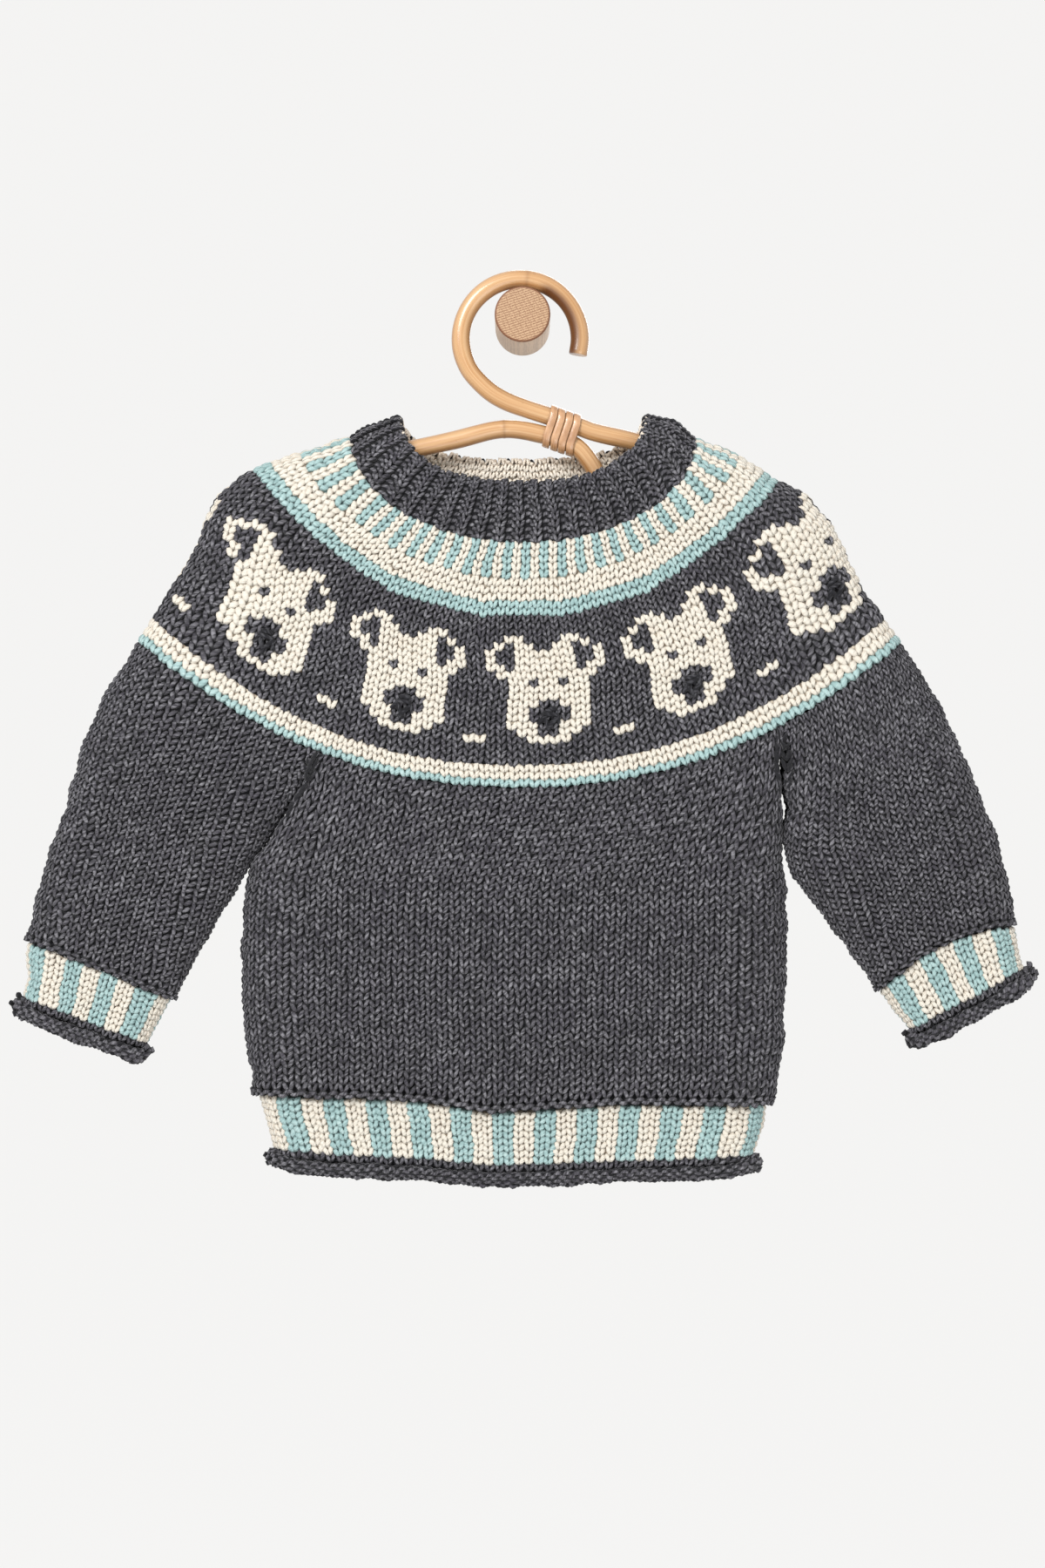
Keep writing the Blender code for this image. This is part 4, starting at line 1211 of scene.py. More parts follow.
class StitchSet(list[LaidStitch]):
    """The stitches of one yarn and one kind on one piece."""

    def mesh(self, name: str) -> Mesh:
        """The stitches' middles as points that carry their directions, sizes and tones."""
        mesh = bpy.data.meshes.new(name)
        mesh.from_pydata([tuple(stitch.place) for stitch in self], [], [])
        for key in CARRIED:
            values = np.array([getattr(stitch, key) for stitch in self], np.float32)
            attribute = mesh.attributes.new(key, "FLOAT_VECTOR", "POINT")
            attribute.data.foreach_set("vector", values.ravel())
        tones = np.array([stitch.tone for stitch in self], np.float32)
        mesh.attributes.new(TONE, "FLOAT", "POINT").data.foreach_set("value", tones)
        return mesh


StitchSets = dict[tuple[Yarn, Stitch, str], StitchSet]


# How much one stitch differs from the next: place in metres, turn in radians, size as a share
UNEVENNESS = {"Uneven place": 0.00018, "Uneven turn": 0.14, "Uneven size": 0.09}


class StitchLayer:
    """The Geometry Nodes tree that lays a stitch on each of a cloth's points."""

    def __init__(self) -> None:
        """Builds the tree with its named inputs."""
        self.tree = bpy.data.node_groups.new("stitches_on_cloth", "GeometryNodeTree")
        self.inputs: dict[str, str] = {}
        face = self.tree.interface
        face.new_socket("Geometry", in_out="INPUT", socket_type="NodeSocketGeometry")
        for name, kind in (
            ("Stitch", "NodeSocketObject"),
            ("Yarn", "NodeSocketMaterial"),
            *((name, "NodeSocketFloat") for name in UNEVENNESS),
            ("Seed", "NodeSocketInt"),
        ):
            self.inputs[name] = face.new_socket(name, in_out="INPUT", socket_type=kind).identifier
        face.new_socket("Geometry", in_out="OUTPUT", socket_type="NodeSocketGeometry")
        self._wire()

    def _node(
        self, kind: str, inputs: Optional[dict[int | str, object]] = None, **settings: object
    ) -> bpy.types.Node:
        """Adds a node.

        Args:
            kind: the node's type.
            inputs: its inputs by place or name, each a value or a socket to link.
            settings: its other settings.

        Returns:
            The node.
        """
        node = self.tree.nodes.new(kind)
        for name, value in settings.items():
            setattr(node, name, value)
        for place, value in (inputs or {}).items():
            feed(self.tree, node.inputs[place], value)
        return node

    def _named(self, name: str) -> Socket:
        """A direction or size that the points carry."""
        node = self._node("GeometryNodeInputNamedAttribute", {"Name": name}, data_type="FLOAT_VECTOR")
        return node.outputs["Attribute"]

    def _random(self, seed: Socket, step: int, factor: Socket) -> Socket:
        """Three random numbers for each point.

        Args:
            seed: where they start.
            step: how much later these ones start.
            factor: how far from 0 they reach.

        Returns:
            The numbers as a vector.
        """
        shifted = self._node("ShaderNodeMath", {0: seed, 1: float(step)}, operation="ADD").outputs[0]
        limits = {0: (-1.0, -1.0, -1.0), 1: (1.0, 1.0, 1.0), "Seed": shifted}
        even = self._node("FunctionNodeRandomValue", limits, data_type="FLOAT_VECTOR").outputs[0]
        return self._node("ShaderNodeVectorMath", {0: even, "Scale": factor}, operation="SCALE").outputs[0]

    def _wire(self) -> None:
        """Joins the nodes: uneven places, directions and sizes, stitches, real meshes, yarn."""
        given = self._node("NodeGroupInput").outputs
        moved, leant, swollen = (
            self._random(given["Seed"], step, given[name]) for step, name in enumerate(UNEVENNESS)
        )
        points = self._node("GeometryNodeSetPosition", {"Geometry": given["Geometry"], "Offset": moved})
        axes = {"Primary Axis": self._named("out"), "Secondary Axis": self._named("up")}
        facing = self._node("FunctionNodeAxesToRotation", axes, primary_axis="Z", secondary_axis="Y")
        turn = self._node("FunctionNodeEulerToRotation", {0: leant})
        turns = {"Rotation": facing.outputs[0], "Rotate By": turn.outputs[0]}
        turned = self._node("FunctionNodeRotateRotation", turns, rotation_space="LOCAL")
        swell = self._node("ShaderNodeVectorMath", {0: swollen, 1: (1.0, 1.0, 1.0)}, operation="ADD")
        sizes = {0: self._named("size"), 1: swell.outputs[0]}
        size = self._node("ShaderNodeVectorMath", sizes, operation="MULTIPLY")
        form = self._node("GeometryNodeObjectInfo", {"Object": given["Stitch"]})
        laid = self._node("GeometryNodeInstanceOnPoints", {
            "Points": points.outputs[0],
            "Instance": form.outputs["Geometry"],
            "Rotation": turned.outputs[0],
            "Scale": size.outputs[0],
        })
        real = self._node("GeometryNodeRealizeInstances", {"Geometry": laid.outputs[0]})
        yarn = self._node("GeometryNodeSetMaterial", {"Geometry": real.outputs[0], "Material": given["Yarn"]})
        self._node("NodeGroupOutput", {"Geometry": yarn.outputs[0]})

    def lay(self, name: str, stitches: StitchSet, form: Piece, yarn: Material, seed: int) -> Piece:
        """Lays a stitch on each point and keeps the result as a plain mesh.

        Args:
            name: the piece's name.
            stitches: where the stitches go.
            form: the form of one stitch.
            yarn: its material.
            seed: the start of its random numbers.

        Returns:
            The piece.
        """
        carrier = new_object(name + "_points", stitches.mesh(name + "_points"))
        modifier = carrier.modifiers.new("stitches", "NODES")
        modifier.node_group = self.tree
        for key, value in {"Stitch": form, "Yarn": yarn, **UNEVENNESS, "Seed": seed}.items():
            modifier[self.inputs[key]] = value
        graph = bpy.context.evaluated_depsgraph_get()
        mesh = bpy.data.meshes.new_from_object(carrier.evaluated_get(graph))
        mesh.name = name
        for key in CARRIED:
            if key in mesh.attributes:
                mesh.attributes.remove(mesh.attributes[key])
        carrier.modifiers.clear()
        bpy.data.objects.remove(carrier, do_unlink=True)
        return new_object(name, mesh)


class Workshop:
    """The yarns, the cloth finishes darkened as painted shade, the stitch forms and the stitch layer that
    every knitted piece uses.
    """

    def __init__(self) -> None:
        """Makes each of them once."""
        self.layer = StitchLayer()
        self.forms = {form.stitch: form.build() for form in FORMS}
        finishes = (CHARCOAL, CREAM, LIT_FACING_CREAM, BLUE, BLACK)
        self.yarns = {yarn: finish.build() for yarn, finish in zip(Yarn, finishes)}
        cream_cloth = CREAM_SHADED_CLOTH.build()
        self.shaded_cloths = {
            Yarn.CHARCOAL: CHARCOAL_SHADED_CLOTH.build(),
            Yarn.CREAM: cream_cloth,
            Yarn.BLUE: BLUE_SHADED_CLOTH.build(),
            Yarn.FACING: cream_cloth,
        }
        self.seed = 7

    def next_seed(self) -> int:
        """A new fixed seed."""
        self.seed += 10
        return self.seed

    def clear(self) -> None:
        """Removes the stitch forms when every piece is knitted."""
        for form in self.forms.values():
            bpy.data.objects.remove(form, do_unlink=True)


@dataclass
class KnitTube:
    """A tube of knitting: a thin cloth shell with its stitches on it.

    Attributes:
        name: the piece's name.
        nodes: the solids that it stands for.
        slot: a material slot's name; not used.
        lattice: its form.
        rounds: how many rows are knitted.
        stitches_round: how many stitches a row has.
        flat: the tube's circumference and length as knitted; not used.
        rests_on: what it hangs from; not used.
        held: how it is held; not used.
        start: how far the first stitch stands from the left fold, in stitches.
        face: which way its stitches look, 1 outward and -1 inward.
        knit_depth: how far the stitches' middles stand inside the outer face.
        shell_depth: how far the cloth behind them stands inside it.
        shell_thickness: how thick that cloth is.
        thickness: how thick the yarn is.
        pieces: the shell and its stitches, once built.
    """

    name: str
    nodes: tuple[str, ...]
    slot: str
    lattice: Lattice
    rounds: int
    stitches_round: int
    flat: tuple[float, float]
    rests_on: tuple[str, ...] = ("yoke_cloth",)
    held: str = "hung"
    start: float = 0.0
    face: float = 1.0
    knit_depth: float = KNIT_DEPTH
    shell_depth: float = SHELL_DEPTH
    shell_thickness: float = SHELL_THICKNESS
    thickness: float = YARN_THICKNESS
    pieces: list[Piece] = field(default_factory=list)

    def count(self, row: int) -> int:
        """How many stitches a row has."""
        return self.stitches_round

    def wales(self, row: int) -> tuple[Array, float]:
        """Where a row's stitches stand across, and how much of the round one takes."""
        step = 2.0 / self.count(row)
        return (np.arange(self.count(row)) + 0.5 + self.start) * step, step

    def ratio(self, row: float) -> float:
        """How wide the wales are at the middle of a side beside their mean."""
        return 1.0

    def spread(self, places: Array, row: float) -> tuple[Array, Array]:
        """Moves evenly spaced wales so that they keep their width at the middle of each side.

        Args:
            places: even places across, 0 to 1 on the front and 1 to 2 on the back.
            row: the row.

        Returns:
            The moved places, and how much wider than even each wale is there.
        """
        ratio = self.ratio(row)
        side = np.floor(np.mod(places, 2.0))
        offset = (np.mod(places, 2.0) - side - 0.5) * 2.0
        moved = ratio * offset + (1.0 - ratio) * offset ** 5
        stretch = ratio + 5.0 * (1.0 - ratio) * offset ** 4
        return side + 0.5 + moved / 2.0, stretch

    def droop(self, share: float, places: Array) -> Array:
        """How far each stitch of a row hangs below its even place, as a share of the tube's length."""
        return np.zeros(len(places))

    def yarn(self, row: int, wale: int) -> Yarn:
        """The yarn of a stitch."""
        return Yarn.CHARCOAL

    def stitch(self, row: int, wale: int) -> Stitch:
        """What a stitch shows."""
        return Stitch.KNIT

    def proud(self, row: int, wale: int) -> float:
        """How far a stitch stands above the others, in metres."""
        return 0.0

    def build(self, shop: Workshop) -> list[Piece]:
        """Makes the shell and the stitches.

        Args:
            shop: the yarns, forms and stitch layer.

        Returns:
            The shell and then the stitches of each yarn and kind.
        """
        sets = self.chart(np.random.default_rng(shop.next_seed()))
        self.extra(sets)
        self.pieces = [self.shell(shop)]
        for (yarn, stitch, part), stitches in sets.items():
            name = f"{self.name}{part}_{yarn.value}_{stitch.value}"
            self.pieces.append(
                shop.layer.lay(name, stitches, shop.forms[stitch], shop.yarns[yarn], shop.next_seed())
            )
        return self.pieces

    def part(self, across: float) -> str:
        """Which piece of the tube a stitch belongs to, where the tube is made in more than one."""
        return ""

    def chart(self, random: np.random.Generator) -> StitchSets:
        """Works out every stitch of the chart.

        Args:
            random: gives each stitch its tone.

        Returns:
            The stitches by yarn, kind and part.
        """
        sets: StitchSets = {}
        for row in range(self.rounds):
            across, step = self.wales(row)
            share = (row + 0.5) / self.rounds
            places, stretch = self.spread(across, row + 0.5)
            spots = self.lattice.at(share + self.droop(share, places), places)
            widths = np.linalg.norm(spots.across, axis=1) * step * stretch
            heights = np.linalg.norm(spots.down, axis=1) / self.rounds
            ups = self.along_wales(across, row)
            row_tone = random.normal(TONE_MEAN, ROW_TONE_SPREAD)
            for wale in range(len(across)):
                yarn = self.yarn(row, wale)
                stitch = self.stitch(row, wale)
                if stitch is Stitch.KNIT and yarn is not Yarn.CHARCOAL:
                    stitch = Stitch.FULL
                rise = self.proud(row, wale) - self.knit_depth
                place = spots.place[wale] + spots.outward[wale] * rise
                size = np.array((widths[wale], heights[wale], self.thickness))
                tone = float(np.clip(row_tone + random.normal(0.0, STITCH_TONE_SPREAD), 0.0, 1.0))
                key = (yarn, stitch, self.part(float(across[wale])))
                laid = LaidStitch(place, ups[wale], spots.outward[wale] * self.face, size, tone)
                sets.setdefault(key, StitchSet()).append(laid)
        return sets

    def along_wales(self, across: Array, row: int) -> Array:
        """Which way each stitch of a row points: up its own wale.

        Args:
            across: where the row's stitches stand before the wales are moved.
            row: the row.

        Returns:
            One direction for each stitch, as long as the row is high.
        """
        ends = []
        for edge in (row, row + 1):
            places, _ = self.spread(across, edge)
            share = edge / self.rounds
            ends.append(self.lattice.at(share + self.droop(share, places), places).place)
        return ends[0] - ends[1]

    def extra(self, sets: StitchSets) -> None:
        """Adds the stitches that stand outside the chart; a plain tube has none."""

    def shell(self, shop: Workshop) -> Piece:
        """The thin closed cloth behind the stitches, one face for each of them on either side, in a darker
        finish that is painted shade between them.

        Args:
            shop: the cloth finishes, darkened as painted shade.

        Returns:
            The shell.
        """
        columns = self.count(self.rounds // 2)
        even = (np.arange(columns) + self.start) * 2.0 / columns
        vertices = []
        for depth in (self.shell_depth, self.shell_depth + self.shell_thickness):
            for row in range(self.rounds + 1):
                places, _ = self.spread(even, row)
                spots = self.lattice.at(np.full(columns, row / self.rounds), places)
                vertices.append(spots.place - spots.outward * depth)
        points = np.concatenate(vertices)
        layer = (self.rounds + 1) * columns
        yarns = list(shop.shaded_cloths)
        rings = []
        for inner in (0, 1):
            for row in range(self.rounds):
                for wale in range(columns):
                    ring = [(inner, row, wale), (inner, row + 1, wale)]
                    ring += [(inner, row + 1, wale + 1), (inner, row, wale + 1)]
                    rings.append(ring[::-1] if inner else ring)
        for row, order in ((0, 1), (self.rounds, -1)):
            for wale in range(columns):
                ring = [(0, row, wale), (0, row, wale + 1), (1, row, wale + 1), (1, row, wale)]
                rings.append(ring[::order])
        faces = [
            [inner * layer + row * columns + wale % columns for inner, row, wale in ring] for ring in rings
        ]
        maps = [(row, wale) for ring in rings for _, row, wale in ring]
        looks = []
        for ring in rings:
            _, rows, wales = zip(*ring)
            looks.append(yarns.index(self.ground(min(*rows, self.rounds - 1), min(wales), columns)))
        mesh = bpy.data.meshes.new(self.name + "_cloth")
        mesh.from_pydata([tuple(point) for point in points], [], faces)
        for yarn in yarns:
            mesh.materials.append(shop.shaded_cloths[yarn])
        mesh.polygons.foreach_set("material_index", looks)
        layer_uv = mesh.uv_layers.new(name=MAP_NAME)
        layer_uv.data.foreach_set("uv", np.array(maps, np.float32).ravel())
        mesh.shade_smooth()
        mesh.set_sharp_from_angle(angle=math.radians(60.0))
        return new_object(self.name + "_cloth", mesh)

    def ground(self, row: int, wale: int, columns: int) -> Yarn:
        """The yarn behind a face of the shell, whose columns stand for the middle row's stitches."""
        return self.yarn(row, min(int((wale + 0.5) / columns * self.count(row)), self.count(row) - 1))

    def dress(self) -> None:
        for piece in self.pieces:
            settle(piece, self.nodes)


# Corners that the increases pull into the upper stripes: where, how wide and deep, and between which rows
CORNERS_X = (-0.0640, -0.0200, 0.0190, 0.0610)
CORNER_WIDTH = 0.0075
CORNER_DROOP = 0.017
CORNER_DROOP_BACK = 0.35
CORNER_SHARE = 0.26
CORNER_REACH = 0.11

# Rows of the yoke: the upper bars, then each plain stripe's first row, the row after its last and its yarn
BAR_ROWS = 5
STRIPES = ((5, 8, Yarn.CREAM), (8, 10, Yarn.BLUE), (31, 33, Yarn.CREAM), (33, 34, Yarn.BLUE))

# Strands of one nose: to the side, up, lean in degrees, length, width and how far it stands out
NOSE_STRANDS = (
    (-0.0036, -0.0006, 24.0, 0.0092, 0.0027, 0.0002),
    (0.0036, -0.0004, -24.0, 0.0092, 0.0027, 0.0003),
    (-0.0014, -0.0030, -32.0, 0.0094, 0.0026, 0.0009),
    (0.0016, -0.0032, 34.0, 0.0090, 0.0026, 0.0013),
    (0.0000, 0.0034, 88.0, 0.0078, 0.0029, 0.0008),
    (0.0002, 0.0012, 96.0, 0.0088, 0.0024, 0.0014),
    (0.0002, -0.0056, 4.0, 0.0052, 0.0028, 0.0006),
)
NOSE_THICKNESS = 0.0026
NOSE_SEED = 41


class Yoke(KnitTube):
    """The round yoke with its colourwork."""

    increases = ((5, 108), (8, 124), (31, 140), (34, 160))

    def count(self, row: int) -> int:
        """How many stitches a row has after the increases above it."""
        for last, count in self.increases:
            if row < last:
                return count
        return self.increases[-1][1]

    def yarn(self, row: int, wale: int) -> Yarn:
        """The colour chart: columns, stripes and bears."""
        if row < BAR_ROWS:
            return Yarn.BLUE if wale % 2 else Yarn.CREAM
        for first, after, yarn in STRIPES:
            if first <= row < after:
                return yarn
        if row < BEAR_FIRST_ROW:
            return Yarn.CHARCOAL
        across = (wale - BEAR_MIDDLE + BEAR_REPEAT // 2) % BEAR_REPEAT
        if row == FLECK_ROW and across in (0, BEAR_REPEAT - 1):
            return Yarn.CREAM
        down = row - BEAR_FIRST_ROW
        if down < len(BEAR) and 1 <= across < BEAR_REPEAT - 1 and BEAR[down][across - 1] == "c":
            return Yarn.CREAM
        return Yarn.CHARCOAL

    def ratio(self, row: float) -> float:
        """The wales widen a little from the middle to the folds."""
        return YOKE_EVENNESS

    def droop(self, share: float, places: Array) -> Array:
        """The upper stripes hang lower under the row of increases, in corners.

        Args:
            share: the row's share of the yoke's length.
            places: the stitches' places across.

        Returns:
            How far each one hangs lower.
        """
        spots = self.lattice.at(np.full(len(places), share), places)
        total = np.zeros(len(places))
        for corner in CORNERS_X:
            total += np.exp(-np.abs(spots.place[:, 0] - corner) / CORNER_WIDTH)
        front = np.mod(places, 2.0) < 1.0
        near = math.exp(-((share - CORNER_SHARE) / CORNER_REACH) ** 2)
        return np.where(front, total, CORNER_DROOP_BACK * total) * CORNER_DROOP * near

    def noses(self, shop: Workshop) -> Piece:
        """The embroidered noses: a knot of black strands on each bear.

        Args:
            shop: the yarns, forms and stitch layer.

        Returns:
            The noses as one piece.
        """
        random = np.random.default_rng(NOSE_SEED)
        strands = StitchSet()
        stitches = self.count(BEAR_FIRST_ROW)
        for bear in range(stitches // BEAR_REPEAT):
            middle = (BEAR_MIDDLE + bear * BEAR_REPEAT) * 2.0 / stitches
            across, _ = self.spread(np.array([middle]), BEAR_FIRST_ROW)
            spot = self.lattice.at(np.array([NOSE_ROW / self.rounds]), across)
            right = unit(spot.across[0])
            up = unit(-spot.down[0])
            for side, rise, lean, length, wide, out in NOSE_STRANDS:
                place = spot.place[0] + right * side + up * rise + spot.outward[0] * out
                angle = math.radians(lean + random.uniform(-12.0, 12.0))
                direction = up * math.cos(angle) + right * math.sin(angle)
                size = np.array((wide, length * random.uniform(0.9, 1.1), NOSE_THICKNESS))
                tone = random.uniform(0.2, 0.8)
                strands.append(LaidStitch(place, direction, spot.outward[0], size, tone))
        return shop.layer.lay(
            "bear_noses", strands, shop.forms[Stitch.SATIN], shop.yarns[Yarn.BLACK], shop.next_seed()
        )


class StraightTube(KnitTube):
    """A tube whose wales hang straight down while its silhouette narrows round them."""

    widest = 0.274
    least_ratio = 0.94
    most_ratio = 1.16

    def ratio(self, row: float) -> float:
        """The wales keep their width, and the folds take up the rest."""
        folds = self.lattice.at(np.full(2, row / self.rounds), np.array([0.0, 1.0])).place
        even = self.widest / np.linalg.norm(folds[1] - folds[0])
        return float(np.clip(even, self.least_ratio, self.most_ratio))


class Body(StraightTube):
    """The body, whose last row is the purl ridge."""

    ridge_rows = 1

    def part(self, across: float) -> str:
        """The front and the back are made apart, to keep each under the limit of one piece."""
        return "_front" if across % 2.0 < 1.0 else "_back"

    def stitch(self, row: int, wale: int) -> Stitch:
        """Purl in the ridge, knit above it."""
        return Stitch.PURL if row >= self.rounds - self.ridge_rows else Stitch.KNIT

    def proud(self, row: int, wale: int) -> float:
        """The ridge stands proud, and the rows above it rise to it."""
        above = self.rounds - self.ridge_rows - row
        return RIDGE_RISES[above] if above < len(RIDGE_RISES) else 0.0


@dataclass
class Sleeve(Body):
    """A sleeve, whose stitches are counted from the outer fold, so that its decreases are at the underarm.

    Attributes:
        fold: where the outer fold stands across.
        stitches_end: how many stitches the last row has.
    """

    fold: float = 0.0
    stitches_end: int = 36

    def ratio(self, row: float) -> float:
        """A sleeve's wales are even in each row."""
        return 1.0

    def wales(self, row: int) -> tuple[Array, float]:
        """Where a row's stitches stand, fewer in each row, with the loss at the underarm."""
        part = (row + 0.5) / self.rounds
        half = (self.stitches_round + (self.stitches_end - self.stitches_round) * part) / 2.0
        whole = int(half + 0.25)
        outward = (np.arange(whole) + 0.5) / half
        return self.fold + np.concatenate((outward, -outward)), 1.0 / half

    def count(self, row: int) -> int:
        """How many stitches a row has."""
        return len(self.wales(row)[0])

    def proud(self, row: int, wale: int) -> float:
        """The last row stands a little proud, over the cuff."""
        return SLEEVE_END_RISE if row >= self.rounds - self.ridge_rows else 0.0


class StripedBand(KnitTube):
    """A band of two-stitch stripes that ends in charcoal rows."""

    charcoal_rows = 1

    def yarn(self, row: int, wale: int) -> Yarn:
        """Stripes two stitches wide, then charcoal."""
        if row >= self.rounds - self.charcoal_rows:
            return Yarn.CHARCOAL
        return Yarn.BLUE if (wale // 2) % 2 else Yarn.CREAM


class HemBand(StripedBand):
    """The striped band under the body, whose stripe at the left fold is four stitches wide."""

    def yarn(self, row: int, wale: int) -> Yarn:
        """Cream for the last two stitches of the round, which lie beside the first two."""
        if wale >= self.stitches_round - 2:
            wale = 0
        return super().yarn(row, wale)


class Roll(KnitTube):
    """A rolled edge, which turns its purl side out."""

    def stitch(self, row: int, wale: int) -> Stitch:
        """Purl all round."""
        return Stitch.PURL


# Turns of the neckband's rim over the neckline, its radius and how far inside the cloth its middle stands
RIM_DEGREES = (15.0, 75.0, 140.0)
RIM_RADIUS = 0.0017
RIM_INSET = 0.0026

# How long a stitch of the rim is, how much of the ribs' relief it keeps, and where the front's cream starts
RIM_STITCH_LENGTH = 0.0030
RIM_RELIEF = 0.6
RIM_CREAM_FROM = 0.36


class Neckband(KnitTube):
    """The neckband: ribs of one knit and one purl stitch that turn over the neckline."""

    def stitch(self, row: int, wale: int) -> Stitch:
        """Every other column is purl."""
        return Stitch.PURL if wale % 2 else Stitch.KNIT

    def proud(self, row: int, wale: int) -> float:
        """Knit columns stand up, purl ones lie back."""
        return -0.0006 if wale % 2 else 0.0004

    def extra(self, sets: StitchSets) -> None:
        """Carries the ribs over the neckline's edge to the facing.

        Args:
            sets: the stitches by yarn and kind.
        """
        across, step = self.wales(0)
        spots = self.lattice.at(np.zeros(len(across)), across)
        widths = np.linalg.norm(spots.across, axis=1) * step
        for place_row, degrees in enumerate(RIM_DEGREES):
            angle = math.radians(degrees)
            for wale in range(len(across)):
                up = unit(-spots.down[wale])
                out = spots.outward[wale]
                radial = out * math.cos(angle) + up * math.sin(angle)
                tangent = up * math.cos(angle) - out * math.sin(angle)
                reach = RIM_RADIUS + self.proud(0, wale) * RIM_RELIEF
                place = spots.place[wale] - out * RIM_INSET + radial * reach
                size = np.array((widths[wale], RIM_STITCH_LENGTH, self.thickness))
                tone = TONE_MEAN + 0.25 * math.sin(wale * 2.7 + degrees)
                yarn = self.rim_yarn(place_row, wale, float(across[wale]))
                key = (yarn, self.stitch(place_row, wale), "")
                sets.setdefault(key, StitchSet()).append(LaidStitch(place, tangent, radial, size, tone))

    @staticmethod
    def rim_yarn(place_row: int, wale: int, across: float) -> Yarn:
        """Charcoal outside, inside the facing's cream, lightened as painted light; it comes up between the
        ribs at the back and at the front's ends.

        Args:
            place_row: 0 outside, 1 on top, 2 inside.
            wale: the rib.
            across: where it stands.

        Returns:
            The yarn.
        """
        if place_row == 0:
            return Yarn.CHARCOAL
        if place_row == 2:
            return Yarn.FACING
        if across > 1.0:
            return Yarn.CHARCOAL if wale % 4 == 1 else Yarn.FACING
        return Yarn.FACING if abs(across - 0.5) > RIM_CREAM_FROM and wale % 2 else Yarn.CHARCOAL


class Facing(KnitTube):
    """The cream facing inside the neckband, its knit side towards the neck, its cream lightened as painted
    light.
    """

    def yarn(self, row: int, wale: int) -> Yarn:
        """Cream throughout, lightened as painted light."""
        return Yarn.FACING


def curve_through(points: Sequence[Vector], steps: int) -> list[Vector]:
    """Even points on a smooth curve through the given ones.

    Args:
        points: the points to pass.
        steps: how many steps to cut it into.

    Returns:
        The points of the curve.
    """
    fine = 12
    last = len(points) - 1
    dense = []
    for place in range(last):
        before = points[max(place - 1, 0)]
        start = points[place]
        stop = points[place + 1]
        after = points[min(place + 2, last)]
        for step in range(fine):
            part = step / fine
            dense.append(0.5 * (
                2.0 * start
                + (stop - before) * part
                + (2.0 * before - 5.0 * start + 4.0 * stop - after) * part ** 2
                + (3.0 * start - before - 3.0 * stop + after) * part ** 3
            ))
    dense.append(points[-1].copy())
    line = np.array([tuple(point) for point in dense])
    reached = np.concatenate(([0.0], np.cumsum(np.linalg.norm(np.diff(line, axis=0), axis=1))))
    even = np.linspace(0.0, reached[-1], steps + 1)
    spaced = [np.interp(even, reached, line[:, axis]) for axis in range(3)]
    return [Vector(point) for point in np.stack(spaced, 1)]


def binding_point(run: float, rise: float) -> Vector:
    """A point on the canes' plane, measured from the binding's middle along and across the canes."""
    ahead = Vector((math.cos(BINDING_SLOPE), 0.0, -math.sin(BINDING_SLOPE)))
    upward = Vector((math.sin(BINDING_SLOPE), 0.0, math.cos(BINDING_SLOPE)))
    return Vector((BINDING_X, HANG_Y, BINDING_Z)) + ahead * run + upward * rise


def plane_points(table: Sequence[PlanePoint]) -> list[Vector]:
    """Points of a table, placed in the hanging plane."""
    return [Vector((x, HANG_Y, z)) for x, z in table]


def hook_route() -> list[Vector]:
    """The hook's arc from its tip, its neck, the straight run in the binding and the right arm."""
    points = []
    for step in range(HOOK_ARC_POINTS + 1):
        angle = math.radians(HOOK_TIP_ANGLE + (HOOK_END_ANGLE - HOOK_TIP_ANGLE) * step / HOOK_ARC_POINTS)
        x = HOOK_X + HOOK_RADIUS * math.cos(angle)
        z = HOOK_Z + HOOK_RADIUS * math.sin(angle)
        points.append(Vector((x, HANG_Y, z)))
    points += plane_points(HOOK_NECK)
    half = BINDING_LENGTH / 2.0
    points += [binding_point(run, CANE_SPREAD / 2.0) for run in (-half, half, 2.0 * half)]
    return points + plane_points(RIGHT_ARM)


def arm_route() -> list[Vector]:
    """The left arm, the straight run in the binding and the tail that bends down behind the neckband."""
    half = BINDING_LENGTH / 2.0
    points = plane_points(LEFT_ARM)
    points += [binding_point(run, -CANE_SPREAD / 2.0) for run in (-half, half)]
    return points + plane_points(TAIL)


@dataclass(frozen=True)
class CaneFinish:
    """Polished cane: honey skin with fine lengthwise grain, darker at its joints, with painted shade along
    its sides.

    Attributes:
        name: the material's name.
        pale: the lighter skin.
        honey: the warmer skin.
        side_shade_colour: the painted shade along the cane's sides.
        mark: colour of the joints and scars.
    """

    name: str = "cane"
    pale: Colour = (0.52, 0.320, 0.158)
    honey: Colour = (0.38, 0.182, 0.062)
    side_shade_colour: Colour = (0.20, 0.070, 0.012)
    mark: Colour = (0.10, 0.032, 0.006)

    def build(self) -> Material:
        """The cane's material."""
        paint = Painter(self.name)
        along, around = paint.uv()
        grain = paint.grain((along, 14.0), (around, 30.0))
        broad = paint.grain((along, 22.0), (around, 2.0))
        share = paint.plus(paint.times(grain, 0.65), paint.times(broad, 0.4))
        colour = paint.ramp(share, ((0.36, self.honey), (0.60, self.pale)))
        # Painted shade along the cane's two sides
        colour = paint.blend(paint.attribute("painted_side_shade"), colour, self.side_shade_colour)
        colour = paint.blend(paint.attribute("joint"), colour, self.mark)
        specks = paint.math("GREATER_THAN", paint.grain((along, 260.0), (around, 14.0)), 0.74)
        colour = paint.blend(paint.times(specks, 0.45), colour, self.mark)
        paint.relief(grain, 0.25, 0.0002)
        return paint.finish(colour, 0.30, coat=0.45)


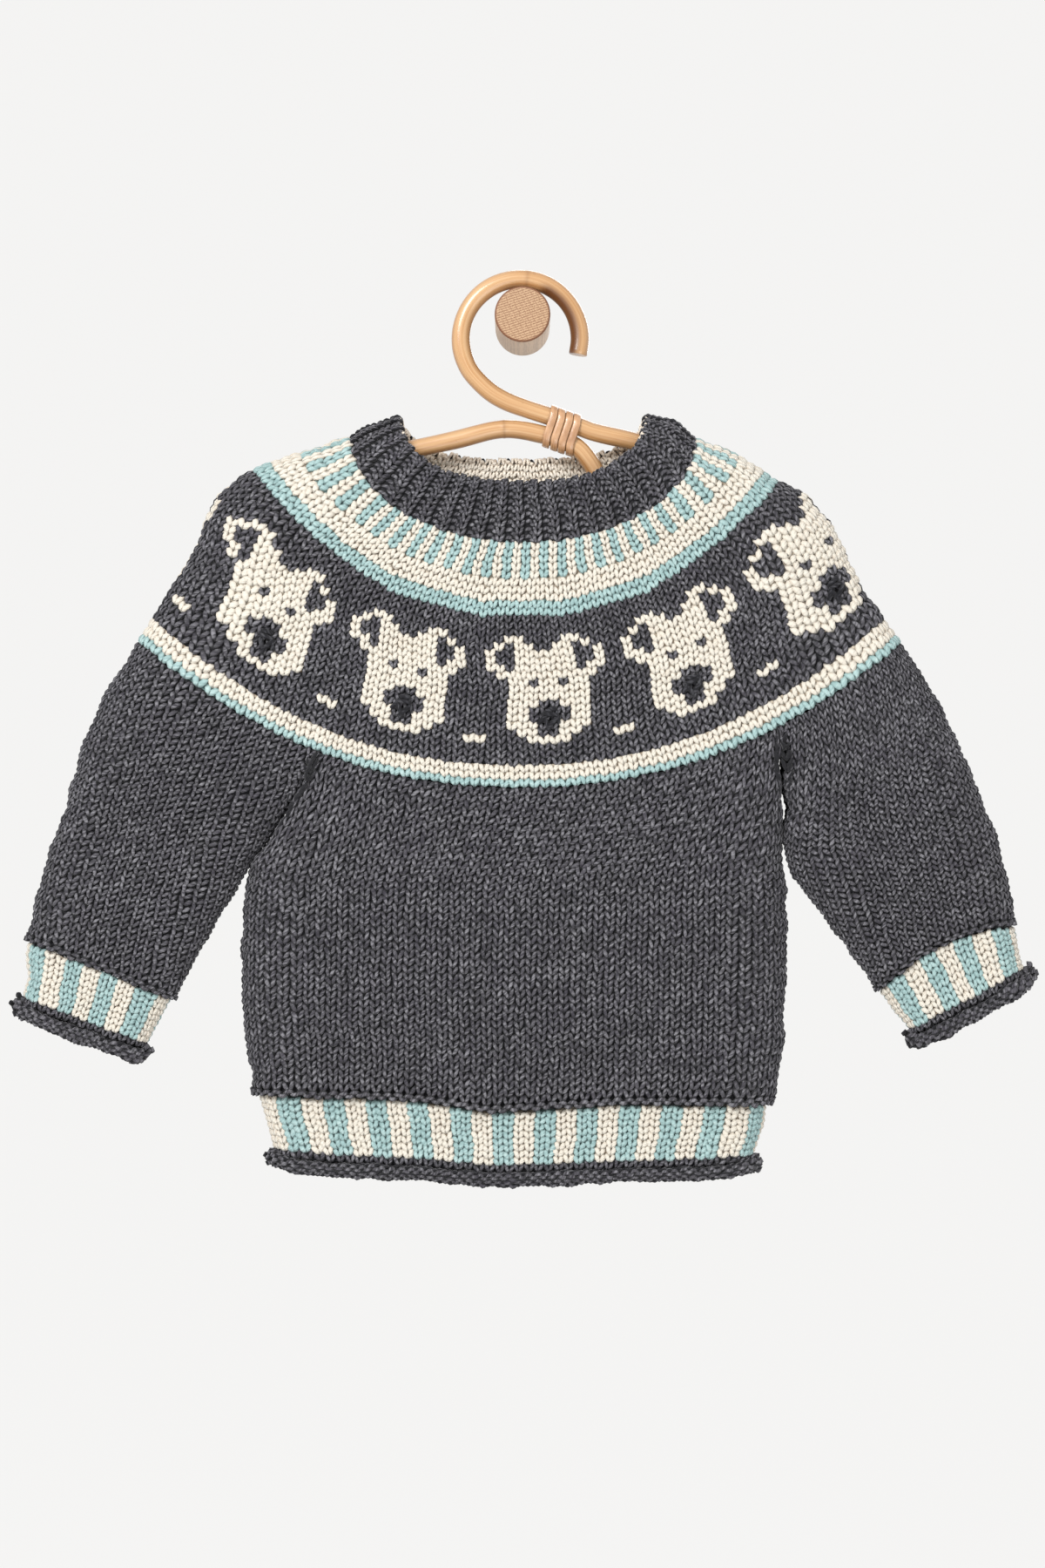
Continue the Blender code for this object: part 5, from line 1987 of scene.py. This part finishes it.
@dataclass(frozen=True)
class StripFinish:
    """Split cane strip with its skin out.

    Attributes:
        name: the material's name.
        pale: the lighter skin.
        deep: the edges and grain.
    """

    name: str = "cane_strip"
    pale: Colour = (0.50, 0.285, 0.145)
    deep: Colour = (0.23, 0.095, 0.036)

    def build(self) -> Material:
        """The strip's material."""
        paint = Painter(self.name)
        along, around = paint.uv()
        grain = paint.grain((along, 60.0), (around, 9.0))
        drift = paint.noise(paint.object_place(), 180.0)
        share = paint.plus(paint.times(grain, 0.6), paint.times(drift, 0.4))
        colour = paint.ramp(share, ((0.34, self.deep), (0.6, self.pale)))
        paint.relief(grain, 0.35, 0.0002)
        return paint.finish(colour, 0.24, coat=0.8)


@dataclass(frozen=True)
class PegFinish:
    """Bare oak: growth rings and pores on the sawn end, grain along the side, painted shade on the eased edge
    of the end.

    Attributes:
        name: the material's name.
        early: the paler wood.
        late: the darker rings.
        ray: the dark pores that run across the rings.
        edge: painted shade on the eased edge of the end.
        side: the paler wood of the turned side.
    """

    name: str = "peg_wood"
    early: Colour = (0.43, 0.275, 0.160)
    late: Colour = (0.20, 0.100, 0.048)
    ray: Colour = (0.24, 0.125, 0.062)
    edge: Colour = (0.15, 0.052, 0.020)
    side: Colour = (0.60, 0.485, 0.38)

    def build(self) -> Material:
        """The peg's material."""
        paint = Painter(self.name)
        place = paint.object_place()
        turned = paint.tree.nodes.new("ShaderNodeMapping")
        turned.inputs["Rotation"].default_value = (0.0, math.radians(28.0), 0.0)
        paint.feed(turned.inputs["Vector"], place)
        parts = paint.node("ShaderNodeSeparateXYZ", Vector=turned.outputs[0])
        run, depth, rise = parts.outputs[0], parts.outputs[1], parts.outputs[2]
        warp = paint.noise(place, 140.0)
        bent = paint.plus(paint.times(rise, 5200.0), paint.times(warp, 2.5))
        rings = paint.math("SINE", paint.plus(bent, paint.times(run, 900.0)))
        rays = paint.math("SINE", paint.plus(paint.times(run, 2600.0), paint.times(warp, 9.0)))
        share = paint.plus(paint.times(rings, 0.16), paint.grain((run, 2600.0), (depth, 90.0), (rise, 900.0)))
        colour = paint.ramp(share, ((0.34, self.late), (0.58, self.early)))
        colour = paint.blend(paint.times(paint.math("GREATER_THAN", rays, 0.82), 0.55), colour, self.ray)
        behind = paint.math("GREATER_THAN", depth, 0.0015 - PEG_LENGTH)
        colour = paint.blend(paint.times(behind, 0.6), colour, self.side)
        # Painted shade on the eased edge of the end, which the peg's mesh carries in its joint attribute
        colour = paint.blend(paint.attribute("joint"), colour, self.edge)
        paint.relief(share, 0.4, 0.0003)
        return paint.finish(colour, 0.62)


class Station(NamedTuple):
    """A place along a cane: its middle, its direction, its radius, the distance and how near a joint is."""

    centre: Vector
    ahead: Vector
    radius: float
    distance: float
    near: float


@dataclass
class Cane:
    """One bent cane of the hanger.

    Attributes:
        name: the piece's name, which is the node's name with _skin.
        node: the solid that it stands for.
        route: points of its centre line.
        joints: growth joints as distances along it, in metres.
        round_start: true where its first end is rounded over.
        stain: where a dark stain runs along its inner side from its first end, as two distances.
        shaded_side: the side that gets the most painted shade, -1 or 1 along the cane's rise.
        sides: how many sides its skin has.
        steps: how many lengths it is cut into.
    """

    name: str
    node: str
    route: list[Vector]
    joints: tuple[float, ...]
    round_start: bool
    stain: tuple[float, float] = (0.0, 0.0)
    shaded_side: float = -1.0
    sides: int = 24
    steps: int = 170

    def build(self, finish: Material) -> Piece:
        """The cane's skin, swollen a little, darker at its joints and with painted shade along its sides.

        Args:
            finish: the cane's material.

        Returns:
            The finished piece.
        """
        centres = curve_through(self.route, self.steps)
        length = sum((stop - start).length for start, stop in zip(centres, centres[1:]))
        facing = Vector((0.0, -1.0, 0.0))
        builder = bmesh.new()
        layer = builder.loops.layers.uv.new(MAP_NAME)
        mark_and_shade_layer = builder.verts.layers.float.new("joint")
        side_shade_layer = builder.verts.layers.float.new("painted_side_shade")
        stations = []
        for place, centre in enumerate(centres):
            ahead = (centres[min(place + 1, self.steps)] - centres[max(place - 1, 0)]).normalized()
            distance = length * place / self.steps
            near = max(math.exp(-((distance - joint) / JOINT_REACH) ** 2) for joint in self.joints)
            uneven = 1.0 + CANE_WAVE * math.sin(distance * CANE_WAVE_TURNS) - CANE_SHRINK
            radius = CANE_RADIUS * (uneven + JOINT_SWELL * near)
            stations.append(Station(centre, ahead, radius, distance, near))
        stations = self._capped(stations)
        rings = []
        for station in stations:
            rise = station.ahead.cross(facing).normalized()
            stained = self._stained(station.distance)
            ring = []
            for side in range(self.sides):
                angle = 2.0 * math.pi * side / self.sides
                outward = facing * math.cos(angle) + rise * math.sin(angle)
                vert = builder.verts.new(station.centre + outward * station.radius)
                inner = max(math.cos(angle + STAIN_ANGLE), 0.0) ** 2
                vert[mark_and_shade_layer] = min(JOINT_DARKNESS * station.near + STAIN_DARKNESS * stained * inner, 1.0)
                # Painted shade along the sides in the hanging plane, stronger on the shaded side
                sideways = math.sin(angle) * self.shaded_side
                painted_side_shade = SIDE_SHADE_SHARE * max(sideways, 0.0) ** 3
                vert[side_shade_layer] = painted_side_shade + OPPOSITE_SIDE_SHADE_SHARE * max(-sideways, 0.0) ** 4
                ring.append(vert)
            rings.append(ring)
        for place, (here, after) in enumerate(zip(rings, rings[1:])):
            near, far = stations[place].distance, stations[place + 1].distance
            for side, face in enumerate(band_of_faces(builder, here, after)):
                low, high = side / self.sides, (side + 1) / self.sides
                map_face(face, layer, ((near, low), (near, high), (far, high), (far, low)))
        builder.faces.new(rings[0])
        builder.faces.new(rings[-1])
        mesh = smooth_mesh(builder, self.name, sharp=50.0)
        mesh.materials.append(finish)
        return settle(new_object(self.name, mesh), (self.node,))

    def _stained(self, distance: float) -> float:
        """How dark the stain is at a distance from the first end."""
        first, last = self.stain
        return float(smooth((distance - first) / STAIN_EASE_IN) * smooth((last - distance) / STAIN_EASE_OUT))

    def _capped(self, stations: list[Station]) -> list[Station]:
        """Adds the eased ends.

        Args:
            stations: the cane's stations from end to end.

        Returns:
            The stations with a small bevel on a sawn end and a round cap on a rounded one.
        """
        cap = ROUNDED_END if self.round_start else SAWN_END
        starts = [self._beyond(stations[0], -reach, size) for reach, size in cap]
        ends = [self._beyond(stations[-1], reach, size) for reach, size in ROUNDED_END]
        return starts[::-1] + stations + ends

    @staticmethod
    def _beyond(end: Station, reach: float, size: float) -> Station:
        """A smaller ring past an end, its reach in radii."""
        centre = end.centre + end.ahead * CANE_RADIUS * reach
        return end._replace(centre=centre, radius=end.radius * size, near=0.0)


# Section of a strip, across and up as shares of its width and thickness, and its room over the cane
STRIP_PROFILE = (
    (-0.5, 0.30), (-0.47, 0.70), (-0.36, 0.92), (0.0, 1.0), (0.36, 0.92), (0.47, 0.70), (0.5, 0.30),
    (0.4, 0.0), (-0.4, 0.0),
)
BINDING_CLEARANCE = 0.0003

# How long a strip's turn is on its map, and how far the next strip's map is moved on
STRIP_MAP = 0.05
STRIP_MAP_STEP = 0.3


@dataclass
class Binding:
    """Four flat strips wound side by side round both canes.

    Attributes:
        thickness: how thick a strip is.
        steps: how many lengths one turn is cut into.
        leans: how far each strip drifts from bottom to top, in millimetres.
    """

    thickness: float = 0.0010
    steps: int = 56
    leans: tuple[float, ...] = (-1.10, -1.35, -1.15, -1.30)

    def build(self, finish: Material) -> Piece:
        """The strips as one piece.

        Args:
            finish: the strips' material.

        Returns:
            The finished piece.
        """
        builder = bmesh.new()
        layer = builder.loops.layers.uv.new(MAP_NAME)
        wide = BINDING_LENGTH / BINDING_STRIPS
        for number, lean in enumerate(self.leans):
            middle = -BINDING_LENGTH / 2.0 + (number + 0.5) * wide
            self._strip(builder, layer, middle, wide * 0.94, lean * 0.001, number)
        mesh = smooth_mesh(builder, "binding_strips")
        mesh.materials.append(finish)
        return settle(new_object("binding_strips", mesh), ("binding",))

    def _strip(
        self, builder: Builder, layer: MapLayer, middle: float, width: float, lean: float, number: int
    ) -> None:
        """Adds one wound strip.

        Args:
            builder: the mesh that is built.
            layer: its map.
            middle: where it stands along the canes.
            width: its width.
            lean: how far it drifts from bottom to top.
            number: its place in the row.
        """
        inner = CANE_RADIUS + BINDING_CLEARANCE
        rings = []
        for step in range(self.steps):
            angle = 2.0 * math.pi * step / self.steps
            over = math.sin(angle)
            ring = []
            for side, height in STRIP_PROFILE:
                reach = inner + self.thickness * height * (1.0 + 0.08 * math.sin(number * 2.0 + angle))
                shift = CANE_SPREAD / 2.0 if over >= 0.0 else -CANE_SPREAD / 2.0
                point = binding_point(middle + side * width + lean * over, over * reach + shift)
                point.y = HANG_Y - math.cos(angle) * reach
                ring.append(builder.verts.new(point))
            rings.append(ring)
        for step in range(self.steps):
            low, high = (STRIP_MAP * turn / self.steps + STRIP_MAP_STEP * number for turn in (step, step + 1))
            faces = band_of_faces(builder, rings[step], rings[(step + 1) % self.steps])
            for side, face in enumerate(faces):
                map_face(face, layer, ((low, side), (low, side + 1), (high, side + 1), (high, side)))


@dataclass
class WallPeg:
    """The turned wooden peg, its edge eased and its end sawn.

    Attributes:
        sides: how many sides it has.
        edge: radius of the eased edge.
    """

    sides: int = 96
    edge: float = 0.0012

    def build(self, finish: Material) -> Piece:
        """The peg.

        Args:
            finish: the peg's material.

        Returns:
            The finished piece.
        """
        profile = [(PEG_RADIUS, 0.0, 0.0), (PEG_RADIUS, -0.015, 0.0), (PEG_RADIUS, -0.03, 0.0)]
        for step in range(7):
            angle = math.pi / 2.0 * step / 6
            radius = PEG_RADIUS - self.edge * (1.0 - math.cos(angle))
            depth = -PEG_LENGTH + self.edge * (1.0 - math.sin(angle))
            profile.append((radius, depth, min(1.3 * math.sin(2.0 * angle), 1.1)))
        profile += [(PEG_RADIUS * share, -PEG_LENGTH, 0.0) for share in (0.86, 0.6, 0.3)]
        builder = bmesh.new()
        mark_and_shade_layer = builder.verts.layers.float.new("joint")
        rings = []
        for radius, depth, mark in profile:
            ring = []
            for side in range(self.sides):
                angle = 2.0 * math.pi * side / self.sides
                vert = builder.verts.new((radius * math.cos(angle), depth, radius * math.sin(angle)))
                # On the peg the joint attribute carries the painted shade of the eased edge, darkest half way
                # round it
                vert[mark_and_shade_layer] = mark * 0.8
                ring.append(vert)
            rings.append(ring)
        for here, after in zip(rings, rings[1:]):
            band_of_faces(builder, here, after)
        builder.faces.new(rings[0])
        builder.faces.new(rings[-1])
        mesh = smooth_mesh(builder, "wall_peg_wood", sharp=60.0)
        mesh.materials.append(finish)
        return settle(new_object("wall_peg_wood", mesh), ("wall_peg",))


@dataclass
class Studio:
    """The pale bowl, the lights and the camera.

    Attributes:
        camera_y: how far in front of the wall the camera stands.
        camera_z: its height.
        lens: its focal length in millimetres, for the frame's height.
        glow: how brightly the bowl shines by itself.
    """

    camera_y: float = -1.43
    camera_z: float = -0.2358
    lens: float = 63.4
    glow: float = 0.84

    def build(self) -> None:
        """Makes the whole studio."""
        self._bowl()
        self._lights()
        self._camera()

    def _bowl(self) -> None:
        """A round floor that curves up into a wall far from the sweater."""
        profile = [(1.2, 0.0), (2.4, 0.0)]
        bend = 1.6
        floor = -1.6
        for step in range(1, 13):
            angle = math.pi / 2.0 * step / 12
            profile.append((2.4 + bend * math.sin(angle), bend * (1.0 - math.cos(angle))))
        profile.append((4.0, 6.0))
        turns = [2.0 * math.pi * side / 64 for side in range(64)]
        builder = bmesh.new()
        rings = []
        for radius, height in profile:
            places = [(radius * math.cos(turn), radius * math.sin(turn), height + floor) for turn in turns]
            rings.append([builder.verts.new(place) for place in places])
        builder.faces.new(rings[0])
        for here, after in zip(rings, rings[1:]):
            band_of_faces(builder, here, after)
        mesh = bpy.data.meshes.new("pale_floor")
        builder.to_mesh(mesh)
        builder.free()
        mesh.shade_smooth()
        paint = Painter("pale_floor")
        paint.shader.inputs["Emission Color"].default_value = (1.0, 0.995, 0.985, 1.0)
        paint.shader.inputs["Emission Strength"].default_value = self.glow
        mesh.materials.append(paint.finish((0.05, 0.05, 0.05, 1.0), 1.0))
        new_object("pale_floor", mesh)

    def _lights(self) -> None:
        """A broad soft key from the upper left front and the room's own light."""
        world = bpy.data.worlds.new("studio")
        world.use_nodes = True
        background = world.node_tree.nodes["Background"]
        background.inputs["Color"].default_value = (1.0, 1.0, 1.0, 1.0)
        background.inputs["Strength"].default_value = 0.9
        bpy.context.scene.world = world
        target = Vector((0.0, 0.0, -0.2))
        for name, place, size, power in (
            ("key", (-1.0, -1.8, 0.95), 0.8, 49.0),
            ("fill", (0.7, -1.7, -1.0), 1.4, 15.0),
            ("back_fill", (0.6, 1.9, 0.8), 1.4, 20.0),
        ):
            light = bpy.data.lights.new(name, "AREA")
            light.size = size
            light.energy = power
            item = new_object(name, light)
            item.location = place
            item.rotation_euler = (target - Vector(place)).to_track_quat("-Z", "Y").to_euler()

    def _camera(self) -> None:
        """The camera at the photograph's place."""
        camera = bpy.data.cameras.new("camera")
        camera.lens = self.lens
        camera.sensor_width = 36.0
        item = new_object("camera", camera)
        item.location = (0.0, self.camera_y, self.camera_z)
        item.rotation_euler = (math.pi / 2.0, 0.0, 0.0)
        bpy.context.scene.camera = item
        bpy.context.scene.view_settings.view_transform = "Standard"


def rounded(count: float, rows: float) -> tuple[float, float]:
    """The size of a knitted piece from its stitches and rows, in metres."""
    return round(count * STITCH_WIDTH, 3), round(rows * ROW_HEIGHT, 3)


def knitted_pieces() -> list[KnitTube]:
    """Every tube of knitting, from the neck down."""
    neck = tube_lattice(NECKBAND)
    yoke = tube_lattice(YOKE)
    body = tube_lattice(BODY, body_top, BODY_BLEND, lambda share: smooth((share - 0.5) * 2.0))
    hem = tube_lattice(HEM_BAND, dip=lambda share: 1.0 - 0.6 * share)
    charcoal, stripe = "charcoal_wool", "stripe_wool"
    pieces: list[KnitTube] = [
        Yoke(
            "yoke", ("yoke",), "yoke_wool", yoke, 34, 140, rounded(140, 34),
            rests_on=("hook_cane_skin", "arm_cane_skin"),
        ),
        Neckband("neckband", ("neckband",), charcoal, neck, 8, 100, rounded(92, 8)),
        Facing(
            "neck_facing", ("neck_facing",), "cream_wool", neck, 8, 100, rounded(92, 8), face=-1.0,
            knit_depth=WALL + 0.0012, shell_depth=WALL + 0.0004, shell_thickness=0.0004, thickness=0.0016,
        ),
        Body("body", ("body_front", "body_back"), charcoal, body, 43, 104, rounded(108, 46)),
        HemBand("hem_band", ("hem_band",), stripe, hem, 9, 100, rounded(104, 9), ("body_cloth",), start=1.0),
        Roll(
            "hem_roll", ("hem_roll",), charcoal, roll_lattice(HEM_ROLL, HEM_ROLL_RADIUS, 0.4), 6, 104,
            (0.490, 0.018), ("hem_band_cloth",), held="folded",
            knit_depth=0.0012, shell_depth=0.0009, thickness=0.0020,
        ),
    ]
    for side, rows, top, cuff, roll, fold, start in (
        ("left", SLEEVE_LEFT, left_sleeve_top, CUFF_LEFT, CUFF_ROLL_LEFT, 0.0, -0.60),
        ("right", SLEEVE_RIGHT, right_sleeve_top, CUFF_RIGHT, CUFF_ROLL_RIGHT, 1.0, 0.0),
    ):
        sleeve, band, edge = ("sleeve_" + side, "cuff_" + side, "cuff_roll_" + side)
        pieces += [
            Sleeve(
                sleeve, (sleeve,), charcoal, tube_lattice(rows, top, SLEEVE_BLEND), 42, 50, rounded(43, 44),
                fold=fold,
            ),
            StripedBand(
                band, (band,), stripe, tube_lattice(cuff), 9, 36, rounded(36, 9), (sleeve + "_cloth",),
                start=start,
            ),
            Roll(
                edge, (edge,), charcoal, roll_lattice(roll, CUFF_ROLL_RADIUS, 0.0), 6, 36,
                (0.155, 0.019), (band + "_cloth",), held="folded",
                knit_depth=0.0014, shell_depth=0.0009, thickness=0.0020,
            ),
        ]
    return pieces


def main() -> None:
    """Builds the studio, the hanger and the sweater."""
    logging.basicConfig(level=logging.INFO, format="%(name)s: %(message)s")
    Studio().build()
    cane = CaneFinish().build()
    Cane("hook_cane_skin", "hook_cane", hook_route(), HOOK_JOINTS, round_start=False, stain=STAIN).build(cane)
    Cane("arm_cane_skin", "arm_cane", arm_route(), ARM_JOINTS, round_start=True, shaded_side=1.0).build(cane)
    Binding().build(StripFinish().build())
    WallPeg().build(PegFinish().build())
    shop = Workshop()
    for tube in knitted_pieces():
        tube.build(shop)
        tube.dress()
        if isinstance(tube, Yoke):
            settle(tube.noses(shop), ("yoke",))
    shop.clear()


if __name__ == "__main__":
    main()
